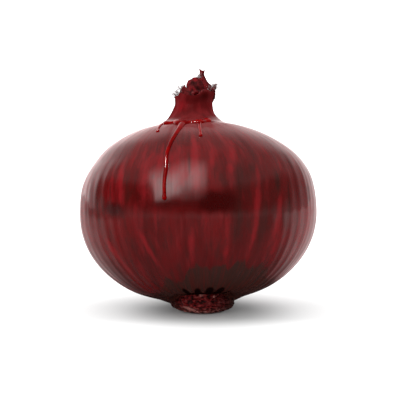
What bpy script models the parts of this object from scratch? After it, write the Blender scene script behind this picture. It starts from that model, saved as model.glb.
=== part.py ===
"""A red onion standing on its trimmed root plate.

The bulb leans back and a little to the left, as an onion does whose root plate
sits off its lowest point. It is one solid: a nearly elliptic body with low ribs
along its meridians, a shoulder that runs up into a narrow neck, and a ragged
rim. The dried ends of the inner leaves stand in the mouth of the neck, the root
plate with its cut roots is the foot, and a thin run of red liquid lies on the
front of the shoulder.

Units are metres, +Z is up, -Y is the front, and the origin is the centre of the
flat face that the onion rests on.
"""

import math
import random

import bmesh
import bpy
from mathutils import Euler, Matrix, Vector

MM = 0.001

# How the bulb stands on its root plate
BODY_CENTRE = Vector((-1.4, 3.2, 33.0)) * MM
LEAN_BACK = math.radians(9.0)
LEAN_LEFT = math.radians(2.6)

# Body, shoulder and neck, along the bulb's own axis from the widest ring
EQUATOR_RADIUS = 40.0 * MM
LOWER_DEPTH = 31.3 * MM
LOWER_FULLNESS = 2.1
UPPER_HEIGHT = 31.6 * MM
UPPER_FULLNESS = 2.15
NECK_RADIUS = 6.1 * MM
SHOULDER_HEIGHT = 30.6 * MM
SHOULDER_SPREAD = 5.1 * MM
SHOULDER_DECAY = 2.55 * MM
SHOULDER_BLEND = (28.6 * MM, 31.0 * MM)
OUTLINE_SAMPLES = 1200

# How the neck strays off the axis: a shift, and the heights between which it grows
SHOULDER_SWAY = (-0.65 * MM, 24 * MM, 30 * MM)
NECK_SWAY = (1.3 * MM, 33 * MM, 42 * MM)
NECK_NOD = (-1.0 * MM, 31 * MM, 44 * MM)

# How the body departs from round: lobes round it, share of the radius, phase, twist per metre
LOBES = ((2, 0.007, 0.4, 0.0), (3, 0.006, 2.0, 0.0), (5, 0.004, 1.0, 20.0))
LOBE_FADE = (26 * MM, 31 * MM)

# The ragged rim of the dry skin, and the mouth that it stands round
RIM_HEIGHT = 40.6 * MM
RIM_TILT = 1.3 * MM
RIM_JAG = 0.55 * MM
RIM_FLARE = 0.9 * MM
RIM_FLARE_REACH = 3.2 * MM
RIM_FLARE_LOPSIDED = 0.2
RIM_WALL = 0.9 * MM
RIM_JAGS = ((5, 0.714, 0.7), (11, 0.5, 2.1), (17, 0.357, 0.0))
RIM_JAG_START = 33 * MM
LIP_DROPS = (0.15 * MM, -0.35 * MM, -1.8 * MM)
LIP_FADE = 2.0 * MM
MOUTH_FLOOR = 36.5 * MM
MOUTH_RADIUS = 5.35 * MM
MOUTH_DISH = 0.6 * MM

# Ribs along the meridians
RIB_COUNT = 40
COLUMNS_PER_RIB = 3
RIB_HEIGHT = (0.18 * MM, 0.42 * MM)
RIB_STRAY = 0.22
RIB_FADE_LOW = (-31 * MM, -22 * MM)
RIB_FADE_HIGH = (20 * MM, 31 * MM)
RIB_SEED = 11
OUTER_RINGS = 29

# Root plate and its cut roots
PLATE_RADIUS = 10.0 * MM
PLATE_REST_RADIUS = 8.9 * MM
PLATE_TOP = 8.0 * MM
PLATE_STEPS = 48
PLATE_SIDE = ((0.76, 1.0), (0.93, 0.84), (0.99, 0.58), (1.0, 0.34), (0.97, 0.14))
POCKET_RADIUS = 11.1 * MM
POCKET_NOTCH = (0.5 * MM, 2.0 * MM)
POCKET_POINTS = 22
POCKET_CEILING = 8.4 * MM
POCKET_FLOOR = -4.0 * MM
ARCH_LIFT = 2.0 * MM
ARCH_REACH = (12.0 * MM, 25.0 * MM)
ROOT_ROWS = ((1.3 * MM, 30), (2.7 * MM, 30), (4.1 * MM, 28))
ROOT_RADIUS = (0.38 * MM, 0.58 * MM)
ROOT_LENGTH = 1.9 * MM
ROOT_STAND = (0.35 * MM, 0.75 * MM)
ROOT_TAPER = (1.25, 0.8)
ROOT_STRAY = 0.25
ROOT_DROOP = (-14.0, 6.0)
ROOT_SIDES = 5
ROOT_SEED = 5

# Dried leaf ends in the mouth of the neck
BUD_CENTRE_HEIGHT = 41.0 * MM
BUD_HEIGHT = 5.0 * MM
BUD_RADIUS = 4.0 * MM
BUD_OFFSET = 0.7 * MM
BUD_FOLDS = 5
BUD_FOLD_DEPTH = 0.45 * MM
BUD_FOLD_TWIST = 300.0
BUD_FOLD_START = (40 * MM, 42 * MM)
BUD_LEAN_START = (39 * MM, 44 * MM)
BUD_RINGS = 12
BUD_COLUMNS = 24
BUD_ROUNDNESS = 0.8
LEAF_ROWS = 7
LEAF_ACROSS = 4
LEAF_TEAR = 0.5
LEAF_CUP = 0.16
LEAF_CURL = 0.22
LEAF_THICKNESS = 0.7 * MM
LEAF_VOXEL = 0.24 * MM
LEAF_FACE_SHARE = 0.1
GAP = 0.35 * MM

# Red liquid on the front of the shoulder
LIQUID_LIFT = 0.3 * MM
LIQUID_PIECES = 6
LIQUID_DROP = 1.25
LIQUID_GAP = 0.25 * MM


def smoothstep(low, high, value):
    """0 below low, 1 above high and an even S between them."""
    t = min(1.0, max(0.0, (value - low) / (high - low)))
    return t * t * (3 - 2 * t)


def clear_scene():
    """Removes what the scene holds."""
    for obj in list(bpy.data.objects):
        bpy.data.objects.remove(obj)


def new_collection(name):
    """A collection linked under the scene."""
    collection = bpy.data.collections.new(name)
    bpy.context.scene.collection.children.link(collection)
    return collection


def new_material(name, colour, roughness):
    """A Principled material, not metallic."""
    material = bpy.data.materials.new(name)
    material.use_nodes = True
    shader = material.node_tree.nodes["Principled BSDF"]
    shader.inputs["Base Color"].default_value = (*colour, 1.0)
    shader.inputs["Roughness"].default_value = roughness
    shader.inputs["Metallic"].default_value = 0.0
    return material


def new_object(name, mesh, collection, parent=None):
    """An object in a collection, placed by its parent."""
    obj = bpy.data.objects.new(name, mesh)
    collection.objects.link(obj)
    obj.parent = parent
    return obj


def mesh_from(name, shape):
    """A mesh from a bmesh, with its faces turned outwards."""
    bmesh.ops.recalc_face_normals(shape, faces=shape.faces)
    mesh = bpy.data.meshes.new(name)
    shape.to_mesh(mesh)
    shape.free()
    return mesh


def evaluated_mesh(obj):
    """The object's mesh with its modifiers applied."""
    bpy.context.view_layer.update()
    graph = bpy.context.evaluated_depsgraph_get()
    return bpy.data.meshes.new_from_object(obj.evaluated_get(graph))


def apply_modifiers(obj):
    """Replaces the object's mesh by its evaluated one."""
    mesh = evaluated_mesh(obj)
    obj.modifiers.clear()
    obj.data = mesh


def fuse(base, repeats, solver="EXACT"):
    """Joins the base and every object of a collection into one body."""
    union = base.modifiers.new("union", "BOOLEAN")
    union.operation = "UNION"
    union.operand_type = "COLLECTION"
    union.collection = repeats
    union.solver = solver
    apply_modifiers(base)
    for obj in list(repeats.objects):
        bpy.data.objects.remove(obj)


def shells(shape):
    """The faces of each connected surface of a bmesh."""
    unseen = set(shape.faces)
    found = []
    while unseen:
        shell, edge_of = set(), [unseen.pop()]
        while edge_of:
            face = edge_of.pop()
            shell.add(face)
            near = {other for edge in face.edges for other in edge.link_faces}
            edge_of.extend(near & unseen)
            unseen -= near
        found.append(shell)
    return found


def keep_outer_shell(obj):
    """Fills the hollows that fusing sealed, and drops loose scraps."""
    shape = bmesh.new()
    shape.from_mesh(obj.data)
    found = sorted(shells(shape), key=lambda shell: sum(f.calc_area() for f in shell))
    lost = [face for shell in found[:-1] for face in shell]
    bmesh.ops.delete(shape, geom=lost, context="FACES")
    shape.to_mesh(obj.data)
    shape.free()


def even_out(obj, voxel, share):
    """Gives a fused body one even surface, without slivers, and keeps a share of its faces."""
    remesh = obj.modifiers.new("even", "REMESH")
    remesh.mode = "VOXEL"
    remesh.voxel_size = voxel
    apply_modifiers(obj)
    keep_outer_shell(obj)
    thin = obj.modifiers.new("thin", "DECIMATE")
    thin.ratio = share
    apply_modifiers(obj)


def cut(base, cutter, solver="EXACT"):
    """Takes the cutter out of the base and removes the cutter."""
    difference = base.modifiers.new("cut", "BOOLEAN")
    difference.operation = "DIFFERENCE"
    difference.object = cutter
    difference.solver = solver
    apply_modifiers(base)
    bpy.data.objects.remove(cutter)


def body_radius(height):
    """The bulb's radius at a height along its axis, before ribs and rim."""
    if height <= 0.0:
        depth = min(1.0, -height / LOWER_DEPTH)
        return EQUATOR_RADIUS * math.sqrt(1.0 - depth**LOWER_FULLNESS)
    rise = min(1.0, height / UPPER_HEIGHT)
    body = EQUATOR_RADIUS * math.sqrt(1.0 - rise**UPPER_FULLNESS)
    spread = math.exp((SHOULDER_HEIGHT - height) / SHOULDER_DECAY)
    shoulder = NECK_RADIUS + SHOULDER_SPREAD * spread
    share = smoothstep(*SHOULDER_BLEND, height)
    return body * (1.0 - share) + shoulder * share


def neck_sway(height):
    """How far the centre line stands off the axis, as (x, y)."""
    left, right, forward = (
        shift * smoothstep(low, high, height)
        for shift, low, high in (SHOULDER_SWAY, NECK_SWAY, NECK_NOD)
    )
    return left + right, forward


def outer_stations():
    """(height, radius) pairs from the bottom pole to the rim, evenly along the outline."""
    reach = RIM_HEIGHT + LOWER_DEPTH
    heights = [
        -LOWER_DEPTH + reach * (1 - math.cos(math.pi * index / OUTLINE_SAMPLES)) / 2
        for index in range(OUTLINE_SAMPLES + 1)
    ]
    points = [(h, body_radius(h)) for h in heights]
    lengths = [0.0]
    for before, after in zip(points, points[1:]):
        lengths.append(lengths[-1] + math.dist(before, after))
    stations = []
    for ring in range(OUTER_RINGS + 1):
        wanted = lengths[-1] * ring / OUTER_RINGS
        index = next(i for i, length in enumerate(lengths) if length >= wanted - 1e-12)
        stations.append(points[index])
    return stations


def rib_layout():
    """(azimuth, height) of each rib, a little unevenly spaced and of uneven height."""
    draw = random.Random(RIB_SEED)
    step = 2 * math.pi / RIB_COUNT
    return [
        (step * (index + draw.uniform(-RIB_STRAY, RIB_STRAY)), draw.uniform(*RIB_HEIGHT))
        for index in range(RIB_COUNT)
    ]


def rib_columns():
    """(azimuth, ridge height) of each column of points: a ridge and the valley past it."""
    ribs = rib_layout()
    columns = []
    for index, (azimuth, height) in enumerate(ribs):
        following = ribs[(index + 1) % RIB_COUNT][0]
        span = (following - azimuth) % (2 * math.pi)
        for column in range(COLUMNS_PER_RIB):
            ridge = height if column == 0 else 0.0
            columns.append((azimuth + span * column / COLUMNS_PER_RIB, ridge))
    return columns


def uneven(azimuth, height):
    """The share by which the body departs from round: a broad, quiet lobing."""
    total = sum(
        share * math.cos(count * azimuth + phase + twist * height)
        for count, share, phase, twist in LOBES
    )
    return total * (1.0 - smoothstep(*LOBE_FADE, height))


def rim_lift(azimuth):
    """How far the torn rim stands above or below its mean height."""
    jag = sum(share * math.sin(count * azimuth + phase) for count, share, phase in RIM_JAGS)
    return RIM_TILT * math.cos(azimuth) + RIM_JAG * jag


def skin_point(azimuth, height, radius, ridge=0.0, offset=0.0):
    """A point of the outer skin in the bulb's own frame.

    ridge is the rib's height there, and offset moves the point off the skin.
    """
    on_body = smoothstep(*RIB_FADE_LOW, height) * (1 - smoothstep(*RIB_FADE_HIGH, height))
    reach = radius * (1.0 + uneven(azimuth, height)) + ridge * on_body
    near_rim = smoothstep(RIM_HEIGHT - RIM_FLARE_REACH, RIM_HEIGHT, height)
    reach += RIM_FLARE * near_rim * (1.0 - RIM_FLARE_LOPSIDED * (1.0 - math.cos(azimuth)))
    lift = rim_lift(azimuth) * smoothstep(RIM_JAG_START, RIM_HEIGHT, height)
    front = (1.0 - math.sin(azimuth)) / 2.0
    underside = 1.0 - smoothstep(*ARCH_REACH, radius)
    if height < 0.0:
        lift += ARCH_LIFT * front**2 * underside
    x, y = neck_sway(height)
    out = Vector((math.cos(azimuth), math.sin(azimuth), 0.0))
    place = Vector((x, y, height + lift)) + out * reach
    if offset:
        step = 0.05 * MM
        slope = (body_radius(height + step) - body_radius(height - step)) / (2 * step)
        place += (out - Vector((0, 0, slope))).normalized() * offset
    return place


def ridge_at(azimuth):
    """The ribs' relief at an azimuth: straight from each ridge down to the valleys beside it."""
    columns = rib_columns()
    for (before, low), (after, high) in zip(columns, columns[1:] + columns[:1]):
        share = ((azimuth - before) % (2 * math.pi)) / ((after - before) % (2 * math.pi))
        if share <= 1.0:
            return low + (high - low) * share
    return 0.0


def mouth_stations():
    """(height from the rim, radius) of the rings from the rim's lip into the mouth."""
    lip = NECK_RADIUS + RIM_FLARE
    radii = (lip - 0.4 * RIM_WALL, lip - 1.1 * RIM_WALL, MOUTH_RADIUS)
    return tuple(zip(LIP_DROPS, radii))


def ringed_sphere(rings, columns):
    """A sphere primitive, and each point's (ring from the bottom pole, column)."""
    shape = bmesh.new()
    bmesh.ops.create_uvsphere(shape, u_segments=columns, v_segments=rings, radius=1.0)
    places = {}
    for vert in shape.verts:
        from_top = math.acos(max(-1.0, min(1.0, vert.co.z)))
        ring = rings - round(from_top / math.pi * rings)
        turn = math.atan2(vert.co.y, vert.co.x) % (2 * math.pi)
        places[vert] = (ring, round(turn / (2 * math.pi) * columns) % columns)
    return shape, places


def bulb_mesh(offset=0.0):
    """The bulb as a sphere drawn out into body, neck, rim and mouth, all by formula."""
    outer = outer_stations()
    inner = mouth_stations()
    columns = rib_columns()
    rings = len(outer) - 1 + len(inner) + 2
    shape, places = ringed_sphere(rings, len(columns))
    for vert, (ring, column) in places.items():
        azimuth, ridge = columns[column]
        if ring < len(outer):
            height, radius = outer[ring]
            vert.co = skin_point(azimuth, height, radius, ridge, offset)
            continue
        x, y = neck_sway(RIM_HEIGHT)
        if ring < len(outer) + len(inner):
            drop, radius = inner[ring - len(outer)]
            height = RIM_HEIGHT + drop + rim_lift(azimuth) * (1.0 + drop / LIP_FADE)
        else:
            height = MOUTH_FLOOR
            radius = MOUTH_RADIUS if ring == len(outer) + len(inner) else 0.0
            height -= MOUTH_DISH if radius == 0.0 else 0.0
        vert.co = (x + radius * math.cos(azimuth), y + radius * math.sin(azimuth), height)
    return mesh_from("bulb", shape)


def pocket_cutter(collection):
    """A jagged upright prism: the pocket for the root plate, with notches in the skin's edge."""
    draw = random.Random(RIB_SEED + 1)
    shape = bmesh.new()
    bmesh.ops.create_cone(
        shape,
        cap_ends=True,
        segments=2 * POCKET_POINTS,
        radius1=POCKET_RADIUS,
        radius2=POCKET_RADIUS,
        depth=POCKET_CEILING - POCKET_FLOOR,
    )
    notches = [draw.uniform(*POCKET_NOTCH) for _ in range(POCKET_POINTS)]
    for vert in shape.verts:
        turn = math.atan2(vert.co.y, vert.co.x) % (2 * math.pi)
        step = round(turn / math.pi * POCKET_POINTS) % (2 * POCKET_POINTS)
        if step % 2:
            vert.co.xy *= 1.0 + notches[step // 2] / POCKET_RADIUS
        vert.co.z += (POCKET_CEILING + POCKET_FLOOR) / 2
    return new_object("pocket_cutter", mesh_from("pocket_cutter", shape), collection)


def build_bulb(parts, helpers, axis, material):
    """The bulb, with the pocket for its root plate cut in its underside."""
    bulb = new_object("bulb", bulb_mesh(), parts, axis)
    bpy.context.view_layer.update()
    cut(bulb, pocket_cutter(helpers))
    bulb.data.materials.clear()
    bulb.data.materials.append(material)
    return bulb


def plate_profile():
    """(radius, height) of the root plate's outline, top to bottom."""
    side = [(share * PLATE_RADIUS, rise * PLATE_TOP) for share, rise in PLATE_SIDE]
    return [(0.0, PLATE_TOP), *side, (PLATE_REST_RADIUS, 0.0), (0.0, 0.0)]


def turned(name, profile, steps, collection):
    """A closed body turned from a profile that starts and ends on the axis."""
    shape = bmesh.new()
    verts = [shape.verts.new((radius, 0.0, height)) for radius, height in profile]
    for above, below in zip(verts, verts[1:]):
        shape.edges.new((above, below))
    mesh = bpy.data.meshes.new(name)
    shape.to_mesh(mesh)
    shape.free()
    obj = new_object(name, mesh, collection)
    screw = obj.modifiers.new("turn", "SCREW")
    screw.steps = steps
    screw.render_steps = steps
    screw.use_merge_vertices = True
    screw.merge_threshold = 0.00001
    apply_modifiers(obj)
    return obj


def cut_root(name, place, out, radius, collection):
    """One cut root: a short tapered peg, most of it sunk in the plate."""
    shape = bmesh.new()
    bmesh.ops.create_cone(
        shape,
        cap_ends=True,
        segments=ROOT_SIDES,
        radius1=radius * ROOT_TAPER[0],
        radius2=radius * ROOT_TAPER[1],
        depth=ROOT_LENGTH,
    )
    turn = out.to_track_quat("Z", "Y").to_matrix().to_4x4()
    shape.transform(Matrix.Translation(place - out * ROOT_LENGTH / 2) @ turn)
    return new_object(name, mesh_from(name, shape), collection)


def build_root_plate(parts, helpers, material):
    """The foot: a turned plate with rows of cut roots standing out of its side."""
    plate = turned("root_plate", plate_profile(), PLATE_STEPS, parts)
    draw = random.Random(ROOT_SEED)
    roots = bpy.data.collections.new("cut_roots")
    helpers.children.link(roots)
    for row, (height, count) in enumerate(ROOT_ROWS):
        for index in range(count):
            stray = draw.uniform(-ROOT_STRAY, ROOT_STRAY)
            azimuth = 2 * math.pi * (index + row / 2 + stray) / count
            droop = math.radians(draw.uniform(*ROOT_DROOP))
            out = Vector((math.cos(azimuth), math.sin(azimuth), math.tan(droop))).normalized()
            stand = PLATE_RADIUS + draw.uniform(*ROOT_STAND)
            lift = height + draw.uniform(-ROOT_STRAY, ROOT_STRAY) * MM
            place = Vector((stand * math.cos(azimuth), stand * math.sin(azimuth), lift))
            cut_root(f"root_{row}_{index}", place, out, draw.uniform(*ROOT_RADIUS), roots)
    fuse(plate, roots)
    keep_outer_shell(plate)
    plate.data.materials.clear()
    plate.data.materials.append(material)
    return plate


def bud_mesh():
    """The folded heart of the leaf ends: a drawn-out sphere with lengthwise folds."""
    shape, places = ringed_sphere(BUD_RINGS, BUD_COLUMNS)
    floor = MOUTH_FLOOR + GAP
    x, y = neck_sway(RIM_HEIGHT)
    for vert, (ring, column) in places.items():
        azimuth = 2 * math.pi * column / BUD_COLUMNS
        angle = math.pi * (ring / BUD_RINGS - 0.5)
        height = BUD_CENTRE_HEIGHT + BUD_HEIGHT * math.sin(angle)
        radius = BUD_RADIUS * max(0.0, math.cos(angle)) ** BUD_ROUNDNESS
        fold = math.cos(BUD_FOLDS * azimuth + BUD_FOLD_TWIST * (height - floor))
        depth = BUD_FOLD_DEPTH * smoothstep(*BUD_FOLD_START, height)
        radius *= 1.0 + depth * fold / BUD_RADIUS
        lean = BUD_OFFSET * smoothstep(*BUD_LEAN_START, height)
        vert.co = (
            x + lean + radius * math.cos(azimuth),
            y + radius * math.sin(azimuth),
            max(floor, height),
        )
    bmesh.ops.dissolve_degenerate(shape, edges=shape.edges, dist=0.00002)
    return mesh_from("leaf_ends", shape)


# Each leaf end: azimuth in degrees, then its start, bend and tip as (out, height) in mm from
# the neck's centre, its width at the start, at the bend and at the tip, and its sideways drift
LEAF_ENDS = {
    "spike": (8, (3.7, 38.6), (4.6, 44.0), (2.7, 49.3), (4.6, 2.6, 1.5), 0.0),
    "right": (-12, (3.6, 38.8), (4.5, 42.0), (5.6, 44.2), (4.6, 3.6, 1.4), 0.5),
    "left": (188, (3.5, 38.8), (4.2, 41.4), (4.6, 43.4), (4.4, 3.4, 1.2), -0.6),
    "front_left": (238, (3.5, 38.6), (4.6, 41.6), (4.1, 43.6), (4.4, 3.8, 1.8), 0.7),
    "front_right": (300, (3.5, 38.6), (4.7, 41.2), (3.9, 42.8), (4.4, 3.6, 1.8), -0.6),
    "back_right": (52, (3.6, 38.8), (4.8, 42.6), (4.2, 45.6), (4.6, 3.2, 1.1), -0.9),
    "back": (98, (3.6, 38.8), (5.1, 42.2), (5.6, 44.9), (4.8, 3.6, 1.2), 1.0),
    "back_left": (145, (3.6, 38.8), (4.6, 42.2), (4.1, 45.0), (4.6, 3.0, 1.4), 0.5),
}


def leaf_mesh(name, azimuth, start, bend, tip, widths, drift):
    """One leaf end: a cupped ribbon along a bent line, narrowing to a torn tip."""
    shape = bmesh.new()
    out = Vector((math.cos(azimuth), math.sin(azimuth), 0.0))
    side = Vector((-math.sin(azimuth), math.cos(azimuth), 0.0))
    sway_x, sway_y = neck_sway(RIM_HEIGHT)
    grid = []
    for row in range(LEAF_ROWS):
        t = row / (LEAF_ROWS - 1)
        weights = ((1 - t) ** 2, 2 * t * (1 - t), t * t)
        reach = sum(w * p[0] for w, p in zip(weights, (start, bend, tip)))
        height = sum(w * p[1] for w, p in zip(weights, (start, bend, tip)))
        width = sum(w * v for w, v in zip(weights, widths))
        line = []
        for column in range(LEAF_ACROSS + 1):
            s = 2 * column / LEAF_ACROSS - 1
            torn = LEAF_TEAR * math.cos(3 * s * math.pi) * t**4
            cup = LEAF_CUP * width * s * s + LEAF_CURL * math.sin(4 * t + 2 * s)
            place = out * (reach - cup) + side * (s * width / 2 + drift * t * t)
            place.z = height + torn
            line.append(shape.verts.new(place * MM + Vector((sway_x, sway_y, 0.0))))
        grid.append(line)
    for low, high in zip(grid, grid[1:]):
        for column in range(LEAF_ACROSS):
            shape.faces.new((low[column], low[column + 1], high[column + 1], high[column]))
    mesh = bpy.data.meshes.new(name)
    shape.to_mesh(mesh)
    shape.free()
    return mesh


def build_leaf_ends(parts, helpers, axis, material):
    """The dried leaf ends in the mouth of the neck: ribbons fused to a folded heart."""
    bud = new_object("leaf_ends", bud_mesh(), parts, axis)
    ribbons = bpy.data.collections.new("leaf_ribbons")
    helpers.children.link(ribbons)
    for name, (azimuth, start, bend, tip, widths, drift) in LEAF_ENDS.items():
        mesh = leaf_mesh(name, math.radians(azimuth), start, bend, tip, widths, drift)
        ribbon = new_object(name, mesh, ribbons, axis)
        wall = ribbon.modifiers.new("wall", "SOLIDIFY")
        wall.thickness = LEAF_THICKNESS
        wall.offset = 0.0
        apply_modifiers(ribbon)
    fuse(bud, ribbons, "MANIFOLD")
    even_out(bud, LEAF_VOXEL, LEAF_FACE_SHARE)
    bud.data.materials.clear()
    bud.data.materials.append(material)
    return bud


# The liquid's strands over the skin, each as (azimuth in degrees, height in mm, half width in
# mm) from its upper end to its lower one
LIQUID_ROUTES = {
    "pool": (
        (-137, 30.1, 0.35),
        (-118, 29.6, 0.5),
        (-107, 29.8, 0.6),
        (-98, 29.3, 0.75),
        (-85, 29.4, 0.6),
        (-72, 29.8, 0.7),
        (-61, 30.2, 0.6),
    ),
    "left_drip": ((-131, 29.9, 0.45), (-122, 28.4, 0.42), (-118, 25.9, 0.4)),
    "long_run": (
        (-98, 29.3, 0.7),
        (-102, 24.8, 0.6),
        (-105, 18.5, 0.55),
        (-105, 9.0, 0.5),
        (-105, 2.8, 0.55),
    ),
    "short_drip": ((-84, 29.4, 0.5), (-86.5, 26.4, 0.42), (-88, 23.2, 0.5)),
}


def smooth_route(points):
    """Points on one smooth curve through a route's own points."""
    ends = (points[0], *points, points[-1])
    route = []
    for span in zip(ends, ends[1:], ends[2:], ends[3:]):
        for piece in range(LIQUID_PIECES):
            t = piece / LIQUID_PIECES
            weights = (
                -0.5 * t + t * t - 0.5 * t**3,
                1.0 - 2.5 * t * t + 1.5 * t**3,
                0.5 * t + 2.0 * t * t - 1.5 * t**3,
                -0.5 * t * t + 0.5 * t**3,
            )
            route.append(tuple(sum(w * p[i] for w, p in zip(weights, span)) for i in range(3)))
    return route + [points[-1]]


def strand_mesh(name, route):
    """A closed tube along a route over the skin, as wide as the route says at each point."""
    curve = bpy.data.curves.new(name, "CURVE")
    curve.dimensions = "3D"
    curve.bevel_depth = MM
    curve.bevel_resolution = 2
    curve.use_fill_caps = True
    spline = curve.splines.new("POLY")
    spline.points.add(len(route) - 1)
    for point, (turn, height, half_width) in zip(spline.points, route):
        azimuth, height = math.radians(turn), height * MM
        place = skin_point(azimuth, height, body_radius(height), ridge_at(azimuth), LIQUID_LIFT)
        point.co = (*place, 1.0)
        point.radius = half_width
    tube = new_object(name, curve, bpy.context.scene.collection)
    mesh = evaluated_mesh(tube)
    bpy.data.objects.remove(tube)
    shape = bmesh.new()
    shape.from_mesh(mesh)
    bmesh.ops.remove_doubles(shape, verts=shape.verts, dist=0.00001)
    return mesh_from(name, shape)


def drop_mesh(name, route):
    """The round drop that a strand ends in."""
    turn, height, half_width = route[-1]
    azimuth, height = math.radians(turn), height * MM
    place = skin_point(azimuth, height, body_radius(height), ridge_at(azimuth), LIQUID_LIFT)
    shape = bmesh.new()
    bmesh.ops.create_icosphere(
        shape,
        subdivisions=2,
        radius=LIQUID_DROP * half_width * MM,
        matrix=Matrix.Translation(place),
    )
    return mesh_from(name, shape)


def build_liquid(parts, helpers, axis, material):
    """The run of liquid: strands and drops fused, and cut clear of the skin under them."""
    pool, *strands = (smooth_route(points) for points in LIQUID_ROUTES.values())
    liquid = new_object("liquid_run", strand_mesh("liquid_run", pool), parts, axis)
    pieces = bpy.data.collections.new("strands")
    helpers.children.link(pieces)
    new_object("pool_end", drop_mesh("pool_end", pool), pieces, axis)
    for index, route in enumerate(strands):
        new_object(f"strand_{index}", strand_mesh(f"strand_{index}", route), pieces, axis)
        new_object(f"drop_{index}", drop_mesh(f"drop_{index}", route), pieces, axis)
    fuse(liquid, pieces, "MANIFOLD")
    cut(liquid, new_object("swollen_bulb", bulb_mesh(LIQUID_GAP), helpers, axis), "MANIFOLD")
    keep_outer_shell(liquid)
    liquid.data.materials.clear()
    liquid.data.materials.append(material)
    return liquid


def main():
    """Builds the onion."""
    clear_scene()
    parts = new_collection("onion")
    helpers = new_collection("helpers")
    axis = bpy.data.objects.new("bulb_axis", None)
    parts.objects.link(axis)
    axis.location = BODY_CENTRE
    axis.rotation_euler = Euler((-LEAN_BACK, -LEAN_LEFT, 0.0))
    skin = new_material("dry_skin", (0.19, 0.025, 0.03), 0.35)
    leaf = new_material("dried_leaf", (0.16, 0.02, 0.025), 0.6)
    root = new_material("root_plate", (0.16, 0.05, 0.04), 0.85)
    liquid = new_material("red_liquid", (0.45, 0.0, 0.0), 0.12)
    build_bulb(parts, helpers, axis, skin)
    build_leaf_ends(parts, helpers, axis, leaf)
    build_root_plate(parts, helpers, root)
    build_liquid(parts, helpers, axis, liquid)


main()
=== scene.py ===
"""The looks of a red onion that stands on its trimmed root plate.

Everything is in metres in the part's own frame: +Z is up, -Y is the front, and the origin is the
centre of the flat face that the onion rests on. The bulb's own axis leans back and a little left.
Azimuths are counted round that axis from +X, so that -90 degrees is the front.
"""

from __future__ import annotations

import logging
import math
import random
from collections.abc import Sequence
from dataclasses import dataclass, field
from enum import Enum
from typing import Any

import bmesh
import bpy
import numpy as np
from mathutils import Euler, Matrix, Vector, noise


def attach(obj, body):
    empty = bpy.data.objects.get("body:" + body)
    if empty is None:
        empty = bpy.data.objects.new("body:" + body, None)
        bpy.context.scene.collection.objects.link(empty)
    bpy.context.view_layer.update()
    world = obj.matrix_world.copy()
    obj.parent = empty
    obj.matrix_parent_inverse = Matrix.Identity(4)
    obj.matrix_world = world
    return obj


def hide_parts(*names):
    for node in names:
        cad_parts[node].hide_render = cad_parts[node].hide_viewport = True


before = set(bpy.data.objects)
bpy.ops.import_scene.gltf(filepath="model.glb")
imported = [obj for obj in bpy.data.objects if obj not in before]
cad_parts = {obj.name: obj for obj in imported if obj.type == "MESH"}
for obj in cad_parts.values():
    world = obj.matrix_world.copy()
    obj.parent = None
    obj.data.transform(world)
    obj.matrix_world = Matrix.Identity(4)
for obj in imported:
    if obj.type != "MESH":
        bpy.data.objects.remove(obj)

LOG = logging.getLogger("onion")
MM = 0.001
FULL_TURN = 2.0 * math.pi
Triple = tuple[float, float, float]
Colour = Triple
Points = np.ndarray


# Small helpers on numbers


def smoothstep(low: float, high: float, value: Any) -> Any:
    """An even S from 0 at low to 1 at high.

    Args:
        low: Where the S starts.
        high: Where it ends.
        value: A number or an array of them.

    Returns:
        The share, of the same shape as value.
    """
    share = np.clip((value - low) / (high - low), 0.0, 1.0)
    return share * share * (3.0 - 2.0 * share)


def smooth_route(points: Sequence[Sequence[float]], pieces: int) -> Points:
    """Samples one smooth curve through a route's own points.

    Args:
        points: The route's points, each a tuple of numbers.
        pieces: How many samples each span gets.

    Returns:
        The samples, one row each.
    """
    ends = np.array([points[0], *points, points[-1]], dtype=float)
    share = np.arange(pieces)[:, None] / pieces
    spans = []
    for before, start, end, after in zip(ends, ends[1:], ends[2:], ends[3:]):
        spans.append(
            (-0.5 * share + share**2 - 0.5 * share**3) * before
            + (1.0 - 2.5 * share**2 + 1.5 * share**3) * start
            + (0.5 * share + 2.0 * share**2 - 1.5 * share**3) * end
            + (-0.5 * share**2 + 0.5 * share**3) * after
        )
    return np.vstack([*spans, ends[-1:]])


def rough(place: Vector, scale: float, seed: float) -> float:
    """A smooth random number from -1 to 1 that belongs to a place.

    Args:
        place: The place, in metres.
        scale: The size of a lump, in metres.
        seed: Shifts the pattern.

    Returns:
        The number.
    """
    return noise.noise(place / scale + Vector((seed, 1.7 * seed, -seed)))


# Node trees


class Wire:
    """A number inside a node tree, with Python's operators as Math nodes."""

    def __init__(self, tree: Tree, socket: bpy.types.NodeSocket) -> None:
        """Keeps the tree and the socket that the number comes from."""
        self.tree = tree
        self.socket = socket

    def __add__(self, other: Number) -> Wire:
        """self + other."""
        return self.tree.math("ADD", self, other)

    def __sub__(self, other: Number) -> Wire:
        """self - other."""
        return self.tree.math("SUBTRACT", self, other)

    def __rsub__(self, other: Number) -> Wire:
        """other - self."""
        return self.tree.math("SUBTRACT", other, self)

    def __mul__(self, other: Number) -> Wire:
        """self * other."""
        return self.tree.math("MULTIPLY", self, other)

    def __truediv__(self, other: Number) -> Wire:
        """self / other."""
        return self.tree.math("DIVIDE", self, other)

    def __pow__(self, other: Number) -> Wire:
        """self to the power of other."""
        return self.tree.math("POWER", self, other)

    __radd__ = __add__
    __rmul__ = __mul__


Number = Wire | float


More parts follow.
